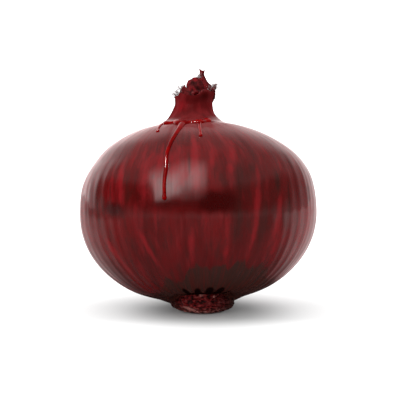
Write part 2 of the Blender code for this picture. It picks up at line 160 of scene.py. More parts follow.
class Tree:
    """Adds nodes to a material's, the world's or a Geometry Nodes tree."""

    def __init__(self, nodes: bpy.types.NodeTree) -> None:
        """Keeps the node tree that is built on."""
        self.nodes = nodes

    def add(
        self,
        kind: str,
        settings: dict[str, Any] | None = None,
        sockets: dict[str | int, Any] | None = None,
    ) -> bpy.types.Node:
        """Adds one node.

        Args:
            kind: The node's type.
            settings: Its properties, set before its sockets.
            sockets: The value, Wire or socket for each input, by name or by place.

        Returns:
            The node.
        """
        node = self.nodes.nodes.new(kind)
        for name, value in (settings or {}).items():
            setattr(node, name, value)
        self.fill(node, sockets or {})
        return node

    def fill(self, node: bpy.types.Node, sockets: dict[str | int, Any]) -> None:
        """Sets or links a node's inputs.

        Args:
            node: The node.
            sockets: The value, Wire or socket for each input, by name or by place.
        """
        for key, value in sockets.items():
            source = value.socket if isinstance(value, Wire) else value
            if isinstance(source, bpy.types.NodeSocket):
                self.nodes.links.new(source, node.inputs[key])
            else:
                node.inputs[key].default_value = source

    def wire(self, node: bpy.types.Node, key: str | int = 0) -> Wire:
        """The number that leaves a node by one of its outputs."""
        return Wire(self, node.outputs[key])

    def math(self, operation: str, *values: Number) -> Wire:
        """One Math node on one, two or three numbers."""
        node = self.add("ShaderNodeMath", {"operation": operation}, dict(enumerate(values)))
        return self.wire(node)

    def step(self, value: Wire, low: float, high: float) -> Wire:
        """An even S from 0 at low to 1 at high, or from 1 to 0 where low is the larger."""
        settings = {"interpolation_type": "SMOOTHSTEP"}
        sockets = {"Value": value, "From Min": low, "From Max": high}
        return self.wire(self.add("ShaderNodeMapRange", settings, sockets))

    def noise(self, vector: Any, scale: float, detail: float = 2.0, rough_share: float = 0.5) -> Wire:
        """A noise texture's number, about 0.5 on average."""
        sockets = {"Vector": vector, "Scale": scale, "Detail": detail, "Roughness": rough_share}
        return self.wire(self.add("ShaderNodeTexNoise", None, sockets))

    def blend(self, share: Number, below: Any, above: Any) -> bpy.types.NodeSocket:
        """Mixes two colours: below where share is 0 and above where it is 1."""
        below, above = (
            (*colour, 1.0) if isinstance(colour, tuple) else colour for colour in (below, above)
        )
        settings = {"data_type": "RGBA", "clamp_factor": True}
        return self.add("ShaderNodeMix", settings, {0: share, 6: below, 7: above}).outputs[2]

    def grain(
        self, vector: Any, factors: Triple, detail: float = 2.0, rough_share: float = 0.5
    ) -> Wire:
        """A noise texture's number on a vector that is first scaled on each axis."""
        scaled = self.add("ShaderNodeVectorMath", {"operation": "MULTIPLY"}, {0: vector, 1: factors})
        return self.noise(scaled.outputs[0], 1.0, detail, rough_share)

    def axes(self, vector: Any) -> list[Wire]:
        """The three numbers of a vector."""
        split = self.add("ShaderNodeSeparateXYZ", None, {0: vector})
        return [self.wire(split, axis) for axis in range(3)]

    def place(self) -> bpy.types.NodeSocket:
        """The place that is looked at, in the object's own frame."""
        return self.add("ShaderNodeTexCoord").outputs["Object"]

    def mask(self, name: str) -> Wire:
        """One of the numbers that are painted on the mesh."""
        return self.wire(self.add("ShaderNodeAttribute", {"attribute_name": name}), "Fac")

    def bump(self, strength: float, depth: float, height: Wire) -> bpy.types.NodeSocket:
        """The normal of a surface that a height makes uneven."""
        sockets = {"Strength": strength, "Distance": depth, "Height": height}
        return self.add("ShaderNodeBump", None, sockets).outputs[0]


class GeometryTree(Tree):
    """A Geometry Nodes tree with named inputs, which ends by realising and setting its material."""

    def __init__(self, name: str, inputs: dict[str, tuple[str, Any]]) -> None:
        """Makes the tree and its interface.

        Args:
            name: The tree's name.
            inputs: For each input, its socket type and its value.
        """
        nodes = bpy.data.node_groups.new(name, "GeometryNodeTree")
        super().__init__(nodes)
        interface = nodes.interface
        interface.new_socket("Geometry", in_out="INPUT", socket_type="NodeSocketGeometry")
        self.values = {}
        for label, (kind, value) in {**inputs, "Finish": ("NodeSocketMaterial", None)}.items():
            item = interface.new_socket(label, in_out="INPUT", socket_type=kind)
            self.values[item.identifier] = (label, value)
        interface.new_socket("Geometry", in_out="OUTPUT", socket_type="NodeSocketGeometry")
        self.input = self.add("NodeGroupInput")

    def given(self, label: str) -> Wire:
        """One of the tree's named inputs."""
        return self.wire(self.input, label)

    def finish(self, geometry: Any) -> None:
        """Ends the tree: real geometry, in the finish that it is given."""
        real = self.add("GeometryNodeRealizeInstances", None, {"Geometry": geometry})
        sockets = {"Geometry": real.outputs[0], "Material": self.given("Finish")}
        dressed = self.add("GeometryNodeSetMaterial", None, sockets)
        self.add("NodeGroupOutput", None, {"Geometry": dressed.outputs[0]})

    def random(self, seed: int, low: Any, high: Any, number: Wire | None = None) -> Wire:
        """A random number for each point or for each whole number."""
        sockets: dict[str | int, Any] = {2: low, 3: high, 8: seed}
        if number is not None:
            sockets[7] = number
        return self.wire(self.add("FunctionNodeRandomValue", {"data_type": "FLOAT"}, sockets), 1)

    def vector(self, name: str) -> bpy.types.NodeSocket:
        """One of the vectors that are painted on the mesh."""
        settings = {"data_type": "FLOAT_VECTOR"}
        return self.add("GeometryNodeInputNamedAttribute", settings, {"Name": name}).outputs[0]

    def cone(
        self, corners: int, segments: int, top: Number, bottom: Wire, length: Wire
    ) -> bpy.types.NodeSocket:
        """An upright cone on the origin.

        Args:
            corners: How many corners its outline has.
            segments: How many pieces its side has from bottom to top.
            top: Its radius at the top.
            bottom: Its radius at the bottom.
            length: Its height.

        Returns:
            The cone.
        """
        sockets = {
            "Vertices": corners,
            "Side Segments": segments,
            "Radius Top": top,
            "Radius Bottom": bottom,
            "Depth": length,
        }
        return self.add("GeometryNodeMeshCone", None, sockets).outputs[0]

    def scatter(self, points: Any, piece: Any, aim: Any, size: Wire) -> bpy.types.NodeSocket:
        """Sets a copy of one piece on each point.

        Args:
            points: The points.
            piece: The piece.
            aim: The direction of each copy's own +Z.
            size: How large each copy is, as a share.

        Returns:
            The copies.
        """
        turn = self.add("FunctionNodeAlignRotationToVector", {"axis": "Z"}, {"Vector": aim})
        sockets = {"Points": points, "Instance": piece, "Rotation": turn.outputs[0], "Scale": size}
        return self.add("GeometryNodeInstanceOnPoints", None, sockets).outputs[0]

    def apply(self, obj: bpy.types.Object, finish: bpy.types.Material) -> None:
        """Runs the tree on an object and leaves it a plain mesh.

        Args:
            obj: The object whose mesh the tree starts from.
            finish: The material for its result.
        """
        modifier = obj.modifiers.new(self.nodes.name, "NODES")
        modifier.node_group = self.nodes
        for identifier, (label, value) in self.values.items():
            modifier[identifier] = finish if label == "Finish" else value
        bake_modifiers(obj)


# Small helpers on objects


def new_object(name: str, mesh: bpy.types.Mesh) -> bpy.types.Object:
    """An object at the origin that shows a mesh."""
    obj = bpy.data.objects.new(name, mesh)
    bpy.context.scene.collection.objects.link(obj)
    return obj


def grid_mesh(name: str, grid: Points, closed: bool) -> bpy.types.Mesh:
    """A mesh of quads on a grid of points.

    Args:
        name: The mesh's name.
        grid: Points by row, column and axis.
        closed: Whether each row runs round to its own start.

    Returns:
        The mesh.
    """
    rows, columns = grid.shape[:2]
    index = np.arange(rows * columns).reshape(rows, columns)
    if closed:
        index = np.hstack([index, index[:, :1]])
    corners = (index[:-1, :-1], index[:-1, 1:], index[1:, 1:], index[1:, :-1])
    faces = np.stack([corner.ravel() for corner in corners], axis=1)
    mesh = bpy.data.meshes.new(name)
    mesh.from_pydata(grid.reshape(-1, 3).tolist(), [], faces.tolist())
    return mesh


def close_poles(mesh: bpy.types.Mesh) -> None:
    """Merges the points of each pole into one, and turns the faces outwards."""
    shape = bmesh.new()
    shape.from_mesh(mesh)
    bmesh.ops.remove_doubles(shape, verts=shape.verts, dist=0.001 * MM)
    bmesh.ops.recalc_face_normals(shape, faces=shape.faces)
    shape.to_mesh(mesh)
    shape.free()


def bake_modifiers(obj: bpy.types.Object) -> None:
    """Leaves the object the plain mesh that its modifiers make."""
    bpy.context.view_layer.update()
    graph = bpy.context.evaluated_depsgraph_get()
    mesh = bpy.data.meshes.new_from_object(obj.evaluated_get(graph))
    obj.modifiers.clear()
    obj.data = mesh


def paint(mesh: bpy.types.Mesh, name: str, values: Points) -> None:
    """Stores a number, or a vector, for each point of a mesh."""
    kind, key = ("FLOAT_VECTOR", "vector") if values.ndim == 2 else ("FLOAT", "value")
    layer = mesh.attributes.new(name, kind, "POINT")
    layer.data.foreach_set(key, values.astype(np.float32).ravel())


def dress(obj: bpy.types.Object, finish: bpy.types.Material) -> None:
    """Gives an object one finish and smooth shading."""
    obj.data.materials.clear()
    obj.data.materials.append(finish)
    obj.data.shade_smooth()


def join(base: bpy.types.Object, others: Sequence[bpy.types.Object]) -> None:
    """Joins the meshes of other objects into the first one, and removes them."""
    joined = [base, *others]
    with bpy.context.temp_override(
        active_object=base, selected_editable_objects=joined, selected_objects=joined
    ):
        bpy.ops.object.join()


def mount(obj: bpy.types.Object, slot: str, *nodes: str) -> None:
    """Puts a finished piece in the frame.

    Args:
        obj: The piece.
        slot: The name of a material slot; it is not used.
        nodes: The CAD nodes that it stands for.
    """
    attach(obj, "root")
    if nodes:
        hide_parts(*nodes)
    LOG.info("%s: %d faces", obj.name, len(obj.data.polygons))


# The bulb's form, which follows the solid of the frame


@dataclass(frozen=True)
class BulbForm:
    """The outline of body, shoulder and neck, and how the bulb stands."""

    centre: Vector = field(default_factory=lambda: Vector((-1.4, 3.2, 33.0)) * MM)
    lean_back: float = math.radians(9.0)
    lean_left: float = math.radians(2.6)
    equator_radius: float = 40.0 * MM
    lower_depth: float = 31.3 * MM
    lower_fullness: float = 2.1
    upper_height: float = 31.6 * MM
    upper_fullness: float = 2.3
    neck_radius: float = 6.1 * MM
    shoulder_height: float = 30.6 * MM
    shoulder_spread: float = 5.1 * MM
    shoulder_decay: float = 2.55 * MM
    shoulder_blend: tuple[float, float] = (28.6 * MM, 31.0 * MM)
    shoulder_slump: float = 1.0 * MM
    upper_swell: float = 0.36 * MM
    swell_rise: tuple[float, float] = (3.0 * MM, 13.0 * MM)
    swell_fall: tuple[float, float] = (30.0 * MM, 22.0 * MM)
    slump_rise: tuple[float, float] = (17.0 * MM, 25.0 * MM)
    slump_fall: tuple[float, float] = (29.0 * MM, 32.0 * MM)
    neck_left: float = 0.65 * MM
    neck_left_reach: tuple[float, float] = (24.0 * MM, 30.0 * MM)
    neck_right: float = 1.3 * MM
    neck_right_reach: tuple[float, float] = (33.0 * MM, 42.0 * MM)
    neck_forward: float = 1.0 * MM
    neck_forward_reach: tuple[float, float] = (31.0 * MM, 44.0 * MM)
    lobes_fade: tuple[float, float] = (26.0 * MM, 31.0 * MM)
    rim_height: float = 40.6 * MM
    rim_tilt: float = 0.6 * MM
    rim_jag: float = 0.55 * MM
    rim_flare: float = 0.9 * MM
    rim_flare_reach: float = 3.2 * MM
    rim_lift_start: float = 33.0 * MM
    mouth_floor: float = 36.5 * MM
    mouth_radius: float = 5.35 * MM
    arch_lift: float = 2.0 * MM
    arch_reach: tuple[float, float] = (12.0 * MM, 25.0 * MM)
    arch_rise: float = 2.2 * MM
    arch_front: tuple[float, float] = (0.72, 0.95)
    skirt_drop: float = 0.5 * MM
    skirt_reach: tuple[float, float] = (11.0 * MM, 15.0 * MM)
    slope_step: float = 0.05 * MM

    def stand(self) -> Matrix:
        """The matrix from the bulb's own frame to the part's frame."""
        turn = Euler((-self.lean_back, -self.lean_left, 0.0)).to_matrix().to_4x4()
        return Matrix.Translation(self.centre) @ turn

    def to_part(self, points: Points) -> Points:
        """Brings points, with the axes last, from the bulb's own frame to the part's frame."""
        matrix = np.array(self.stand())
        placed = points.reshape(-1, 3) @ matrix[:3, :3].T + matrix[:3, 3]
        return placed.reshape(points.shape)

    def radius(self, height: Points) -> Points:
        """The radius at each height along the axis, before ribs and rim."""
        depth = np.clip(-height / self.lower_depth, 0.0, 1.0)
        lower = self.equator_radius * np.sqrt(1.0 - depth**self.lower_fullness)
        rise = np.clip(height / self.upper_height, 0.0, 1.0)
        body = self.equator_radius * np.sqrt(1.0 - rise**self.upper_fullness)
        lift = np.minimum((self.shoulder_height - height) / self.shoulder_decay, 20.0)
        shoulder = self.neck_radius + self.shoulder_spread * np.exp(lift)
        share = smoothstep(*self.shoulder_blend, height)
        swell = smoothstep(*self.swell_rise, height) * smoothstep(*self.swell_fall, height)
        upper = body * (1.0 - share) + shoulder * share + self.upper_swell * swell
        return np.where(height <= 0.0, lower, upper)

    def sway(self, height: Points) -> tuple[Points, Points]:
        """How far the centre line stands off the axis, as x and y."""
        left = -self.neck_left * smoothstep(*self.neck_left_reach, height)
        slump = smoothstep(*self.slump_rise, height) * (1.0 - smoothstep(*self.slump_fall, height))
        left = left - self.shoulder_slump * slump
        right = self.neck_right * smoothstep(*self.neck_right_reach, height)
        forward = -self.neck_forward * smoothstep(*self.neck_forward_reach, height)
        return left + right, forward

    def lobes(self, azimuth: Points, height: Points) -> Points:
        """The share by which the body departs from round."""
        share = 0.007 * np.cos(2 * azimuth + 0.4) + 0.006 * np.cos(3 * azimuth + 2.0)
        share = share + 0.004 * np.cos(5 * azimuth + 1.0 + 20 * height)
        return share * (1.0 - smoothstep(*self.lobes_fade, height))

    def rim_lift(self, azimuth: Points) -> Points:
        """How far the torn rim stands above or below its mean height."""
        jag = 0.714 * np.sin(5 * azimuth + 0.7) + 0.3 * np.sin(11 * azimuth + 2.1)
        jag = jag + 0.2 * np.sin(17 * azimuth + 2.5 * np.sin(3 * azimuth))
        jag = jag - 2.0 * np.exp(-(((azimuth + 1.45) / 0.65) ** 2))
        return self.rim_tilt * np.cos(azimuth) + self.rim_jag * jag

    def skin(self, azimuth: Points, height: Points, relief: Points, offset: float = 0.0) -> Points:
        """Points of the outer skin in the bulb's own frame.

        Args:
            azimuth: The azimuth of each point, in radians.
            height: Its height along the axis.
            relief: How far it stands out of the plain form, level with the axis.
            offset: How far all points stand off the skin, square to it.

        Returns:
            The points, with the axes last.
        """
        radius = self.radius(height)
        reach = radius * (1.0 + self.lobes(azimuth, height)) + relief
        near_rim = smoothstep(self.rim_height - self.rim_flare_reach, self.rim_height, height)
        reach = reach + self.rim_flare * near_rim * (0.8 + 0.2 * np.cos(azimuth))
        lift = self.rim_lift(azimuth) * smoothstep(self.rim_lift_start, self.rim_height, height)
        front = (1.0 - np.sin(azimuth)) / 2.0
        underside = np.where(height < 0.0, 1.0 - smoothstep(*self.arch_reach, radius), 0.0)
        skirt = np.where(height < 0.0, 1.0 - smoothstep(*self.skirt_reach, radius), 0.0)
        lift = lift + self.arch_lift * front**2 * underside
        lift = lift + (self.arch_rise * smoothstep(*self.arch_front, front) - self.skirt_drop) * skirt
        x, y = self.sway(height)
        step = self.slope_step
        slope = (self.radius(height + step) - self.radius(height - step)) / (2 * step)
        square = offset / np.sqrt(1.0 + slope**2)
        reach = reach + square
        places = (
            x + np.cos(azimuth) * reach,
            y + np.sin(azimuth) * reach,
            height + lift - slope * square,
        )
        return np.stack(np.broadcast_arrays(*places), axis=-1)

    def outline(self, rows: int) -> Points:
        """Heights from the bottom pole to the rim, evenly spaced along the outline."""
        angle = np.linspace(0.0, math.pi, 4000)
        heights = (self.rim_height + self.lower_depth) * (1.0 - np.cos(angle)) / 2
        heights = heights - self.lower_depth
        radii = self.radius(heights)
        lengths = np.concatenate([[0.0], np.cumsum(np.hypot(np.diff(heights), np.diff(radii)))])
        return np.interp(np.linspace(0.0, lengths[-1], rows), lengths, heights)


FORM = BulbForm()


# Finishes


class Finish(Tree):
    """The tree of a new material, which ends in one Principled shader."""

    def __init__(self, name: str) -> None:
        """Makes the material."""
        self.material = bpy.data.materials.new(name)
        self.material.use_nodes = True
        super().__init__(self.material.node_tree)

    def end(self, sockets: dict[str, Any]) -> bpy.types.Material:
        """Sets and links the shader's inputs.

        Args:
            sockets: The value or link for each input.

        Returns:
            The material.
        """
        self.fill(self.nodes.nodes["Principled BSDF"], sockets)
        return self.material


@dataclass(frozen=True)
class DrySkin:
    """Thin papery skin: maroon, with crimson and brown streaks that follow the meridians. A sheen is
    painted below the liquid's pool and at the neck's foot. Shade is painted in the torn notches above
    the root plate, inside the mouth and on the neck below the leaf ends.
    """

    maroon: Colour = (0.046, 0.0016, 0.0016)
    wine: Colour = (0.076, 0.0022, 0.0026)
    crimson: Colour = (0.155, 0.0050, 0.0075)
    brown: Colour = (0.026, 0.0040, 0.0030)
    scorched: Colour = (0.026, 0.0090, 0.0068)
    scorched_red: Colour = (0.042, 0.0070, 0.0055)
    shoulder: Colour = (0.094, 0.0038, 0.0046)
    neck: Colour = (0.100, 0.0060, 0.0072)
    neck_dark: Colour = (0.030, 0.0018, 0.0016)
    neck_pale: Colour = (0.150, 0.022, 0.024)
    # painted sheen: a pale pink that stands in for the gloss's reflection
    haze: Colour = (0.26, 0.10, 0.10)
    deep: Colour = (0.027, 0.0008, 0.0008)
    # painted shade: near black, for the shade in the torn notches above the root plate
    cleft: Colour = (0.004, 0.0008, 0.0007)
    gloss_roughness: float = 0.125
    gloss_index: float = 1.44
    # where shade is painted beside the root plate at the front
    foot_turn: float = 1.53
    foot_half_turn: tuple[float, float] = (0.50, 0.25)
    foot_level: tuple[float, float] = (-0.685, -0.70)

    def neck_colour(self, tree: Tree, level: Wire, crimson: Wire, dark: Wire) -> bpy.types.NodeSocket:
        """The neck's colour: lumpy and dark, and paler on its ridges.

        Args:
            tree: The material's tree.
            level: The height, as a share of the widest radius.
            crimson: Where the neck is crimson.
            dark: Where it is dark, which on the neck is mostly painted shade.

        Returns:
            The colour.
        """
        lumps = tree.grain(tree.place(), (260.0, 260.0, 120.0), 3.0)
        neck = tree.blend(tree.step(lumps, 0.36, 0.60) * 0.5 + 0.5, self.neck_dark, self.neck)
        neck = tree.blend(tree.step(lumps, 0.56, 0.70) * 0.4, neck, self.neck_pale)
        neck = tree.blend(crimson * 0.6, neck, self.crimson)
        # painted sheen at the neck's foot
        neck = tree.blend(tree.step(level, 0.90, 0.78) * 0.05, neck, self.haze)
        # painted shade inside the mouth and on the neck below the leaf ends
        return tree.blend(dark, neck, self.neck_dark)

    def build(self) -> bpy.types.Material:
        """Makes the material."""
        tree = Finish("dry_skin")
        meridian = tree.add("ShaderNodeAttribute", {"attribute_name": "meridian"}).outputs["Vector"]
        across, along, level = tree.axes(meridian)
        broad = tree.grain(meridian, (4.0, 4.0, 1.2))
        fine = tree.grain(meridian, (13.0, 13.0, 4.0), 3.0)
        thin = tree.grain(meridian, (40.0, 40.0, 4.5), 3.0)
        hair = tree.grain(meridian, (120.0, 120.0, 3.0))
        blotch = tree.grain(meridian, (14.0, 14.0, 9.0))
        crimson, deep, dark = tree.mask("crimson"), tree.mask("deep"), tree.mask("dark")
        haze = tree.mask("haze")
        base = tree.blend(tree.step(broad, 0.35, 0.65), self.maroon, self.wine)
        base = tree.blend(tree.step(fine, 0.52, 0.72) * 0.35, base, self.crimson)
        base = tree.blend(tree.step(fine, 0.46, 0.30) * 0.5, base, self.brown)
        base = tree.blend(tree.step(thin, 0.56, 0.74) * 0.18, base, self.crimson)
        base = tree.blend(tree.step(thin, 0.44, 0.28) * 0.26, base, self.brown)
        torn = (blotch - 0.5) * 1.1 + (thin - 0.5) * 0.35
        crimson = tree.step(crimson + torn * tree.step(crimson, 0.02, 0.3), 0.12, 0.95)
        base = tree.blend(crimson * 0.74, base, self.crimson)
        base = tree.blend(tree.step(deep + torn * 0.6 * deep, 0.1, 0.8), base, self.deep)
        base = tree.blend(dark * (0.55 + 0.5 * tree.step(thin, 0.35, 0.6)), base, self.brown)
        burnt = tree.blend(tree.step(thin, 0.42, 0.66), self.scorched, self.scorched_red)
        torn_edge = tree.mask("scorch") + (fine - 0.5) * 1.1 + (thin - 0.5) * 0.5
        scorch = tree.step(torn_edge, 0.38, 0.62)
        base = tree.blend(scorch, base, burnt)
        beside = tree.math("ABSOLUTE", tree.math("ARCTAN2", along, across) + self.foot_turn)
        # painted shade: the torn notches above the root plate, and a zone beside the plate at the
        # front, are painted near black
        cleft = tree.step(tree.mask("cleft") + (thin - 0.5) * 0.2, 0.40, 0.65)
        cleft = cleft + tree.step(level, *self.foot_level) * tree.step(beside, *self.foot_half_turn)
        base = tree.blend(cleft, base, self.cleft)
        base = tree.blend(tree.step(level, 0.52, 0.70) * 0.7, base, self.shoulder)
        # painted sheen on the shoulder below the liquid's pool, where the coat is taken away
        base = tree.blend(haze * 0.28, base, self.haze)
        on_neck = tree.step(level, 0.76, 0.83)
        base = tree.blend(on_neck, base, self.neck_colour(tree, level, crimson, dark))
        dull = 0.2 * tree.step(blotch, 0.4, 0.7) + 0.25 * tree.step(hair, 0.45, 0.7) + 0.3 * scorch
        dull = dull + 0.4 * tree.step(level, -0.50, -0.66)
        return tree.end(
            {
                "Base Color": base,
                "Roughness": 0.6,
                "Specular IOR Level": 0.0,
                "Coat Weight": tree.math("MAXIMUM", 1.0 - dull - on_neck - 0.95 * haze - cleft, 0.03),
                "Coat Roughness": self.gloss_roughness,
                "Coat IOR": self.gloss_index,
                "Normal": tree.bump(0.3, 0.1 * MM, hair * 0.4 + thin * 0.6),
            }
        )


@dataclass(frozen=True)
class DriedLeaf:
    """The withered ends of the leaves: dark wine red, matt, paler along their torn edges. Shade is
    painted in the heart's creases and waist and on the leaves' right sides. Highlights are painted on
    the leaves' left edges and along the heart's lower fold.
    """

    # deep is the leaves' darkest tone, and also the colour of their painted shade
    deep: Colour = (0.022, 0.0012, 0.0012)
    wine: Colour = (0.085, 0.0040, 0.0052)
    crimson: Colour = (0.13, 0.0025, 0.0050)
    # pale is the torn edges' own colour, and also the colour of painted highlights
    pale: Colour = (0.22, 0.075, 0.075)

    def build(self) -> bpy.types.Material:
        """Makes the material."""
        tree = Finish("dried_leaf")
        place = tree.place()
        lumps = tree.noise(place, 430.0)
        strands = tree.grain(place, (1500.0, 1500.0, 260.0), 3.0, 0.6)
        edge, painted_shade, bud = tree.mask("edge"), tree.mask("painted_shade"), tree.mask("bud")
        base = tree.blend(tree.step(lumps, 0.36, 0.56), self.deep, self.wine)
        base = tree.blend(tree.step(lumps, 0.60, 0.70) * 0.8, base, self.crimson)
        base = tree.blend(tree.step(strands, 0.60, 0.80) * 0.08, base, self.pale)
        base = tree.blend(bud * (0.15 + 0.75 * tree.step(lumps, 0.44, 0.62)), base, self.crimson)
        # painted shade in the heart's creases and waist and on the leaves' right sides
        base = tree.blend(painted_shade * (0.9 - 0.4 * tree.step(lumps, 0.40, 0.6)), base, self.deep)
        # pale torn edges, with a painted highlight on the leaves' left edges and along the heart's
        # lower fold
        base = tree.blend(edge * tree.step(strands, 0.35, 0.65) * 0.7, base, self.pale)
        return tree.end(
            {
                "Base Color": base,
                "Roughness": 0.4 + 0.15 * lumps,
                "Specular IOR Level": 0.05,
                "Normal": tree.bump(0.6, 0.15 * MM, strands * 0.6 + lumps * 0.4),
            }
        )


@dataclass(frozen=True)
class RootCork:
    """The corky root plate: dark red in its crevices, pinkish tan on its flakes, with painted shade on
    its right side.
    """

    crevice_and_shade: Colour = (0.020, 0.0015, 0.0012)
    flesh: Colour = (0.13, 0.0022, 0.0036)
    brown: Colour = (0.060, 0.012, 0.009)
    flake: Colour = (0.30, 0.115, 0.10)
    skin: Colour = (0.036, 0.0085, 0.0065)

    def build(self) -> bpy.types.Material:
        """Makes the material."""
        tree = Finish("root_cork")
        place = tree.place()
        layers = tree.grain(place, (480.0, 480.0, 1500.0), 4.0, 0.6)
        specks = tree.noise(place, 1500.0, 3.0, 0.6)
        relief, low, collar = tree.mask("relief"), tree.mask("low"), tree.mask("collar")
        raised = tree.step(relief + (layers - 0.5) * 0.9, 0.12, 0.75)
        base = tree.blend(raised, self.crevice_and_shade, self.flesh)
        base = tree.blend(low * tree.step(specks, 0.35, 0.6), base, self.brown)
        flaky = tree.step(relief * 0.55 + layers * 0.6, 0.62, 0.78)
        base = tree.blend(flaky * (0.16 + 0.84 * low), base, self.flake)
        # painted shade: the plate's right side is painted darker
        rightward = tree.axes(place)[0]
        base = tree.blend(tree.step(rightward, 0.0, 8.0 * MM) * 0.6, base, self.crevice_and_shade)
        base = tree.blend(collar * tree.step(specks, 0.25, 0.45), base, self.skin)
        chip = tree.mask("chip") + (layers - 0.5) * 0.8
        base = tree.blend(tree.step(chip, 0.30, 0.75) * 0.8, base, self.flake)
        return tree.end(
            {
                "Base Color": base,
                "Roughness": 0.45 + 0.2 * specks,
                "Specular IOR Level": 0.15,
                "Normal": tree.bump(0.7, 0.25 * MM, layers * 0.6 + specks * 0.4),
            }
        )


@dataclass(frozen=True)
class WetLiquid:
    """Thick red liquid: deep, clear red with a wet gloss."""

    red: Colour = (0.155, 0.0, 0.0)
    dark_red: Colour = (0.095, 0.0, 0.0)

    def build(self) -> bpy.types.Material:
        """Makes the material."""
        tree = Finish("red_liquid")
        cloud = tree.noise(tree.place(), 350.0)
        return tree.end(
            {
                "Base Color": tree.blend(tree.step(cloud, 0.4, 0.65), self.red, self.dark_red),
                "Roughness": 0.06,
                "Specular IOR Level": 0.06,
            }
        )


@dataclass(frozen=True)
class PaleFibre:
    """Dry fibres at the torn edges: pale and slightly pink."""

    pale: Colour = (0.40, 0.34, 0.34)
    root: Colour = (0.20, 0.12, 0.12)

    def build(self) -> bpy.types.Material:
        """Makes the material."""
        tree = Finish("pale_fibre")
        share = tree.step(tree.noise(tree.place(), 700.0), 0.35, 0.6)
        return tree.end({"Base Color": tree.blend(share, self.root, self.pale), "Roughness": 0.7})


# The skin


class Tint(Enum):
    """The colours that a streak of the skin can have: the skin's own colours, painted shade in the torn
    notches above the root plate, and a painted sheen.
    """

    CRIMSON = "crimson"
    DARK = "dark"
    DEEP = "deep"
    CLEFT_SHADE = "cleft"
    PAINTED_LIGHT = "haze"


@dataclass(frozen=True)
class Streak:
    """One streak of colour down the skin.

    Its upper and lower ends are (azimuth in degrees, height in mm), and its half width is in degrees.
    """

    tint: Tint
    top: tuple[float, float]
    bottom: tuple[float, float]
    half_width: float
    strength: float

    def mask(self, azimuth: Points, height: Points) -> Points:
        """How strongly each point of the skin takes the streak's colour, from 0 to 1.

        Args:
            azimuth: The azimuth of each point, in radians.
            height: Its height along the axis, in metres.

        Returns:
            The share for each point.
        """
        level = height / MM
        (top_turn, top_level), (low_turn, low_level) = self.top, self.bottom
        along = np.clip((level - low_level) / (top_level - low_level), 0.0, 1.0)
        middle = np.radians(low_turn + (top_turn - low_turn) * along)
        aside = np.degrees(np.arctan2(np.sin(azimuth - middle), np.cos(azimuth - middle)))
        feather = 0.28 * (top_level - low_level) + 1.0
        ends = smoothstep(low_level - feather, low_level + feather, level)
        ends = ends * smoothstep(top_level + feather, top_level - feather, level)
        return self.strength * np.exp(-((aside / self.half_width) ** 2)) * ends


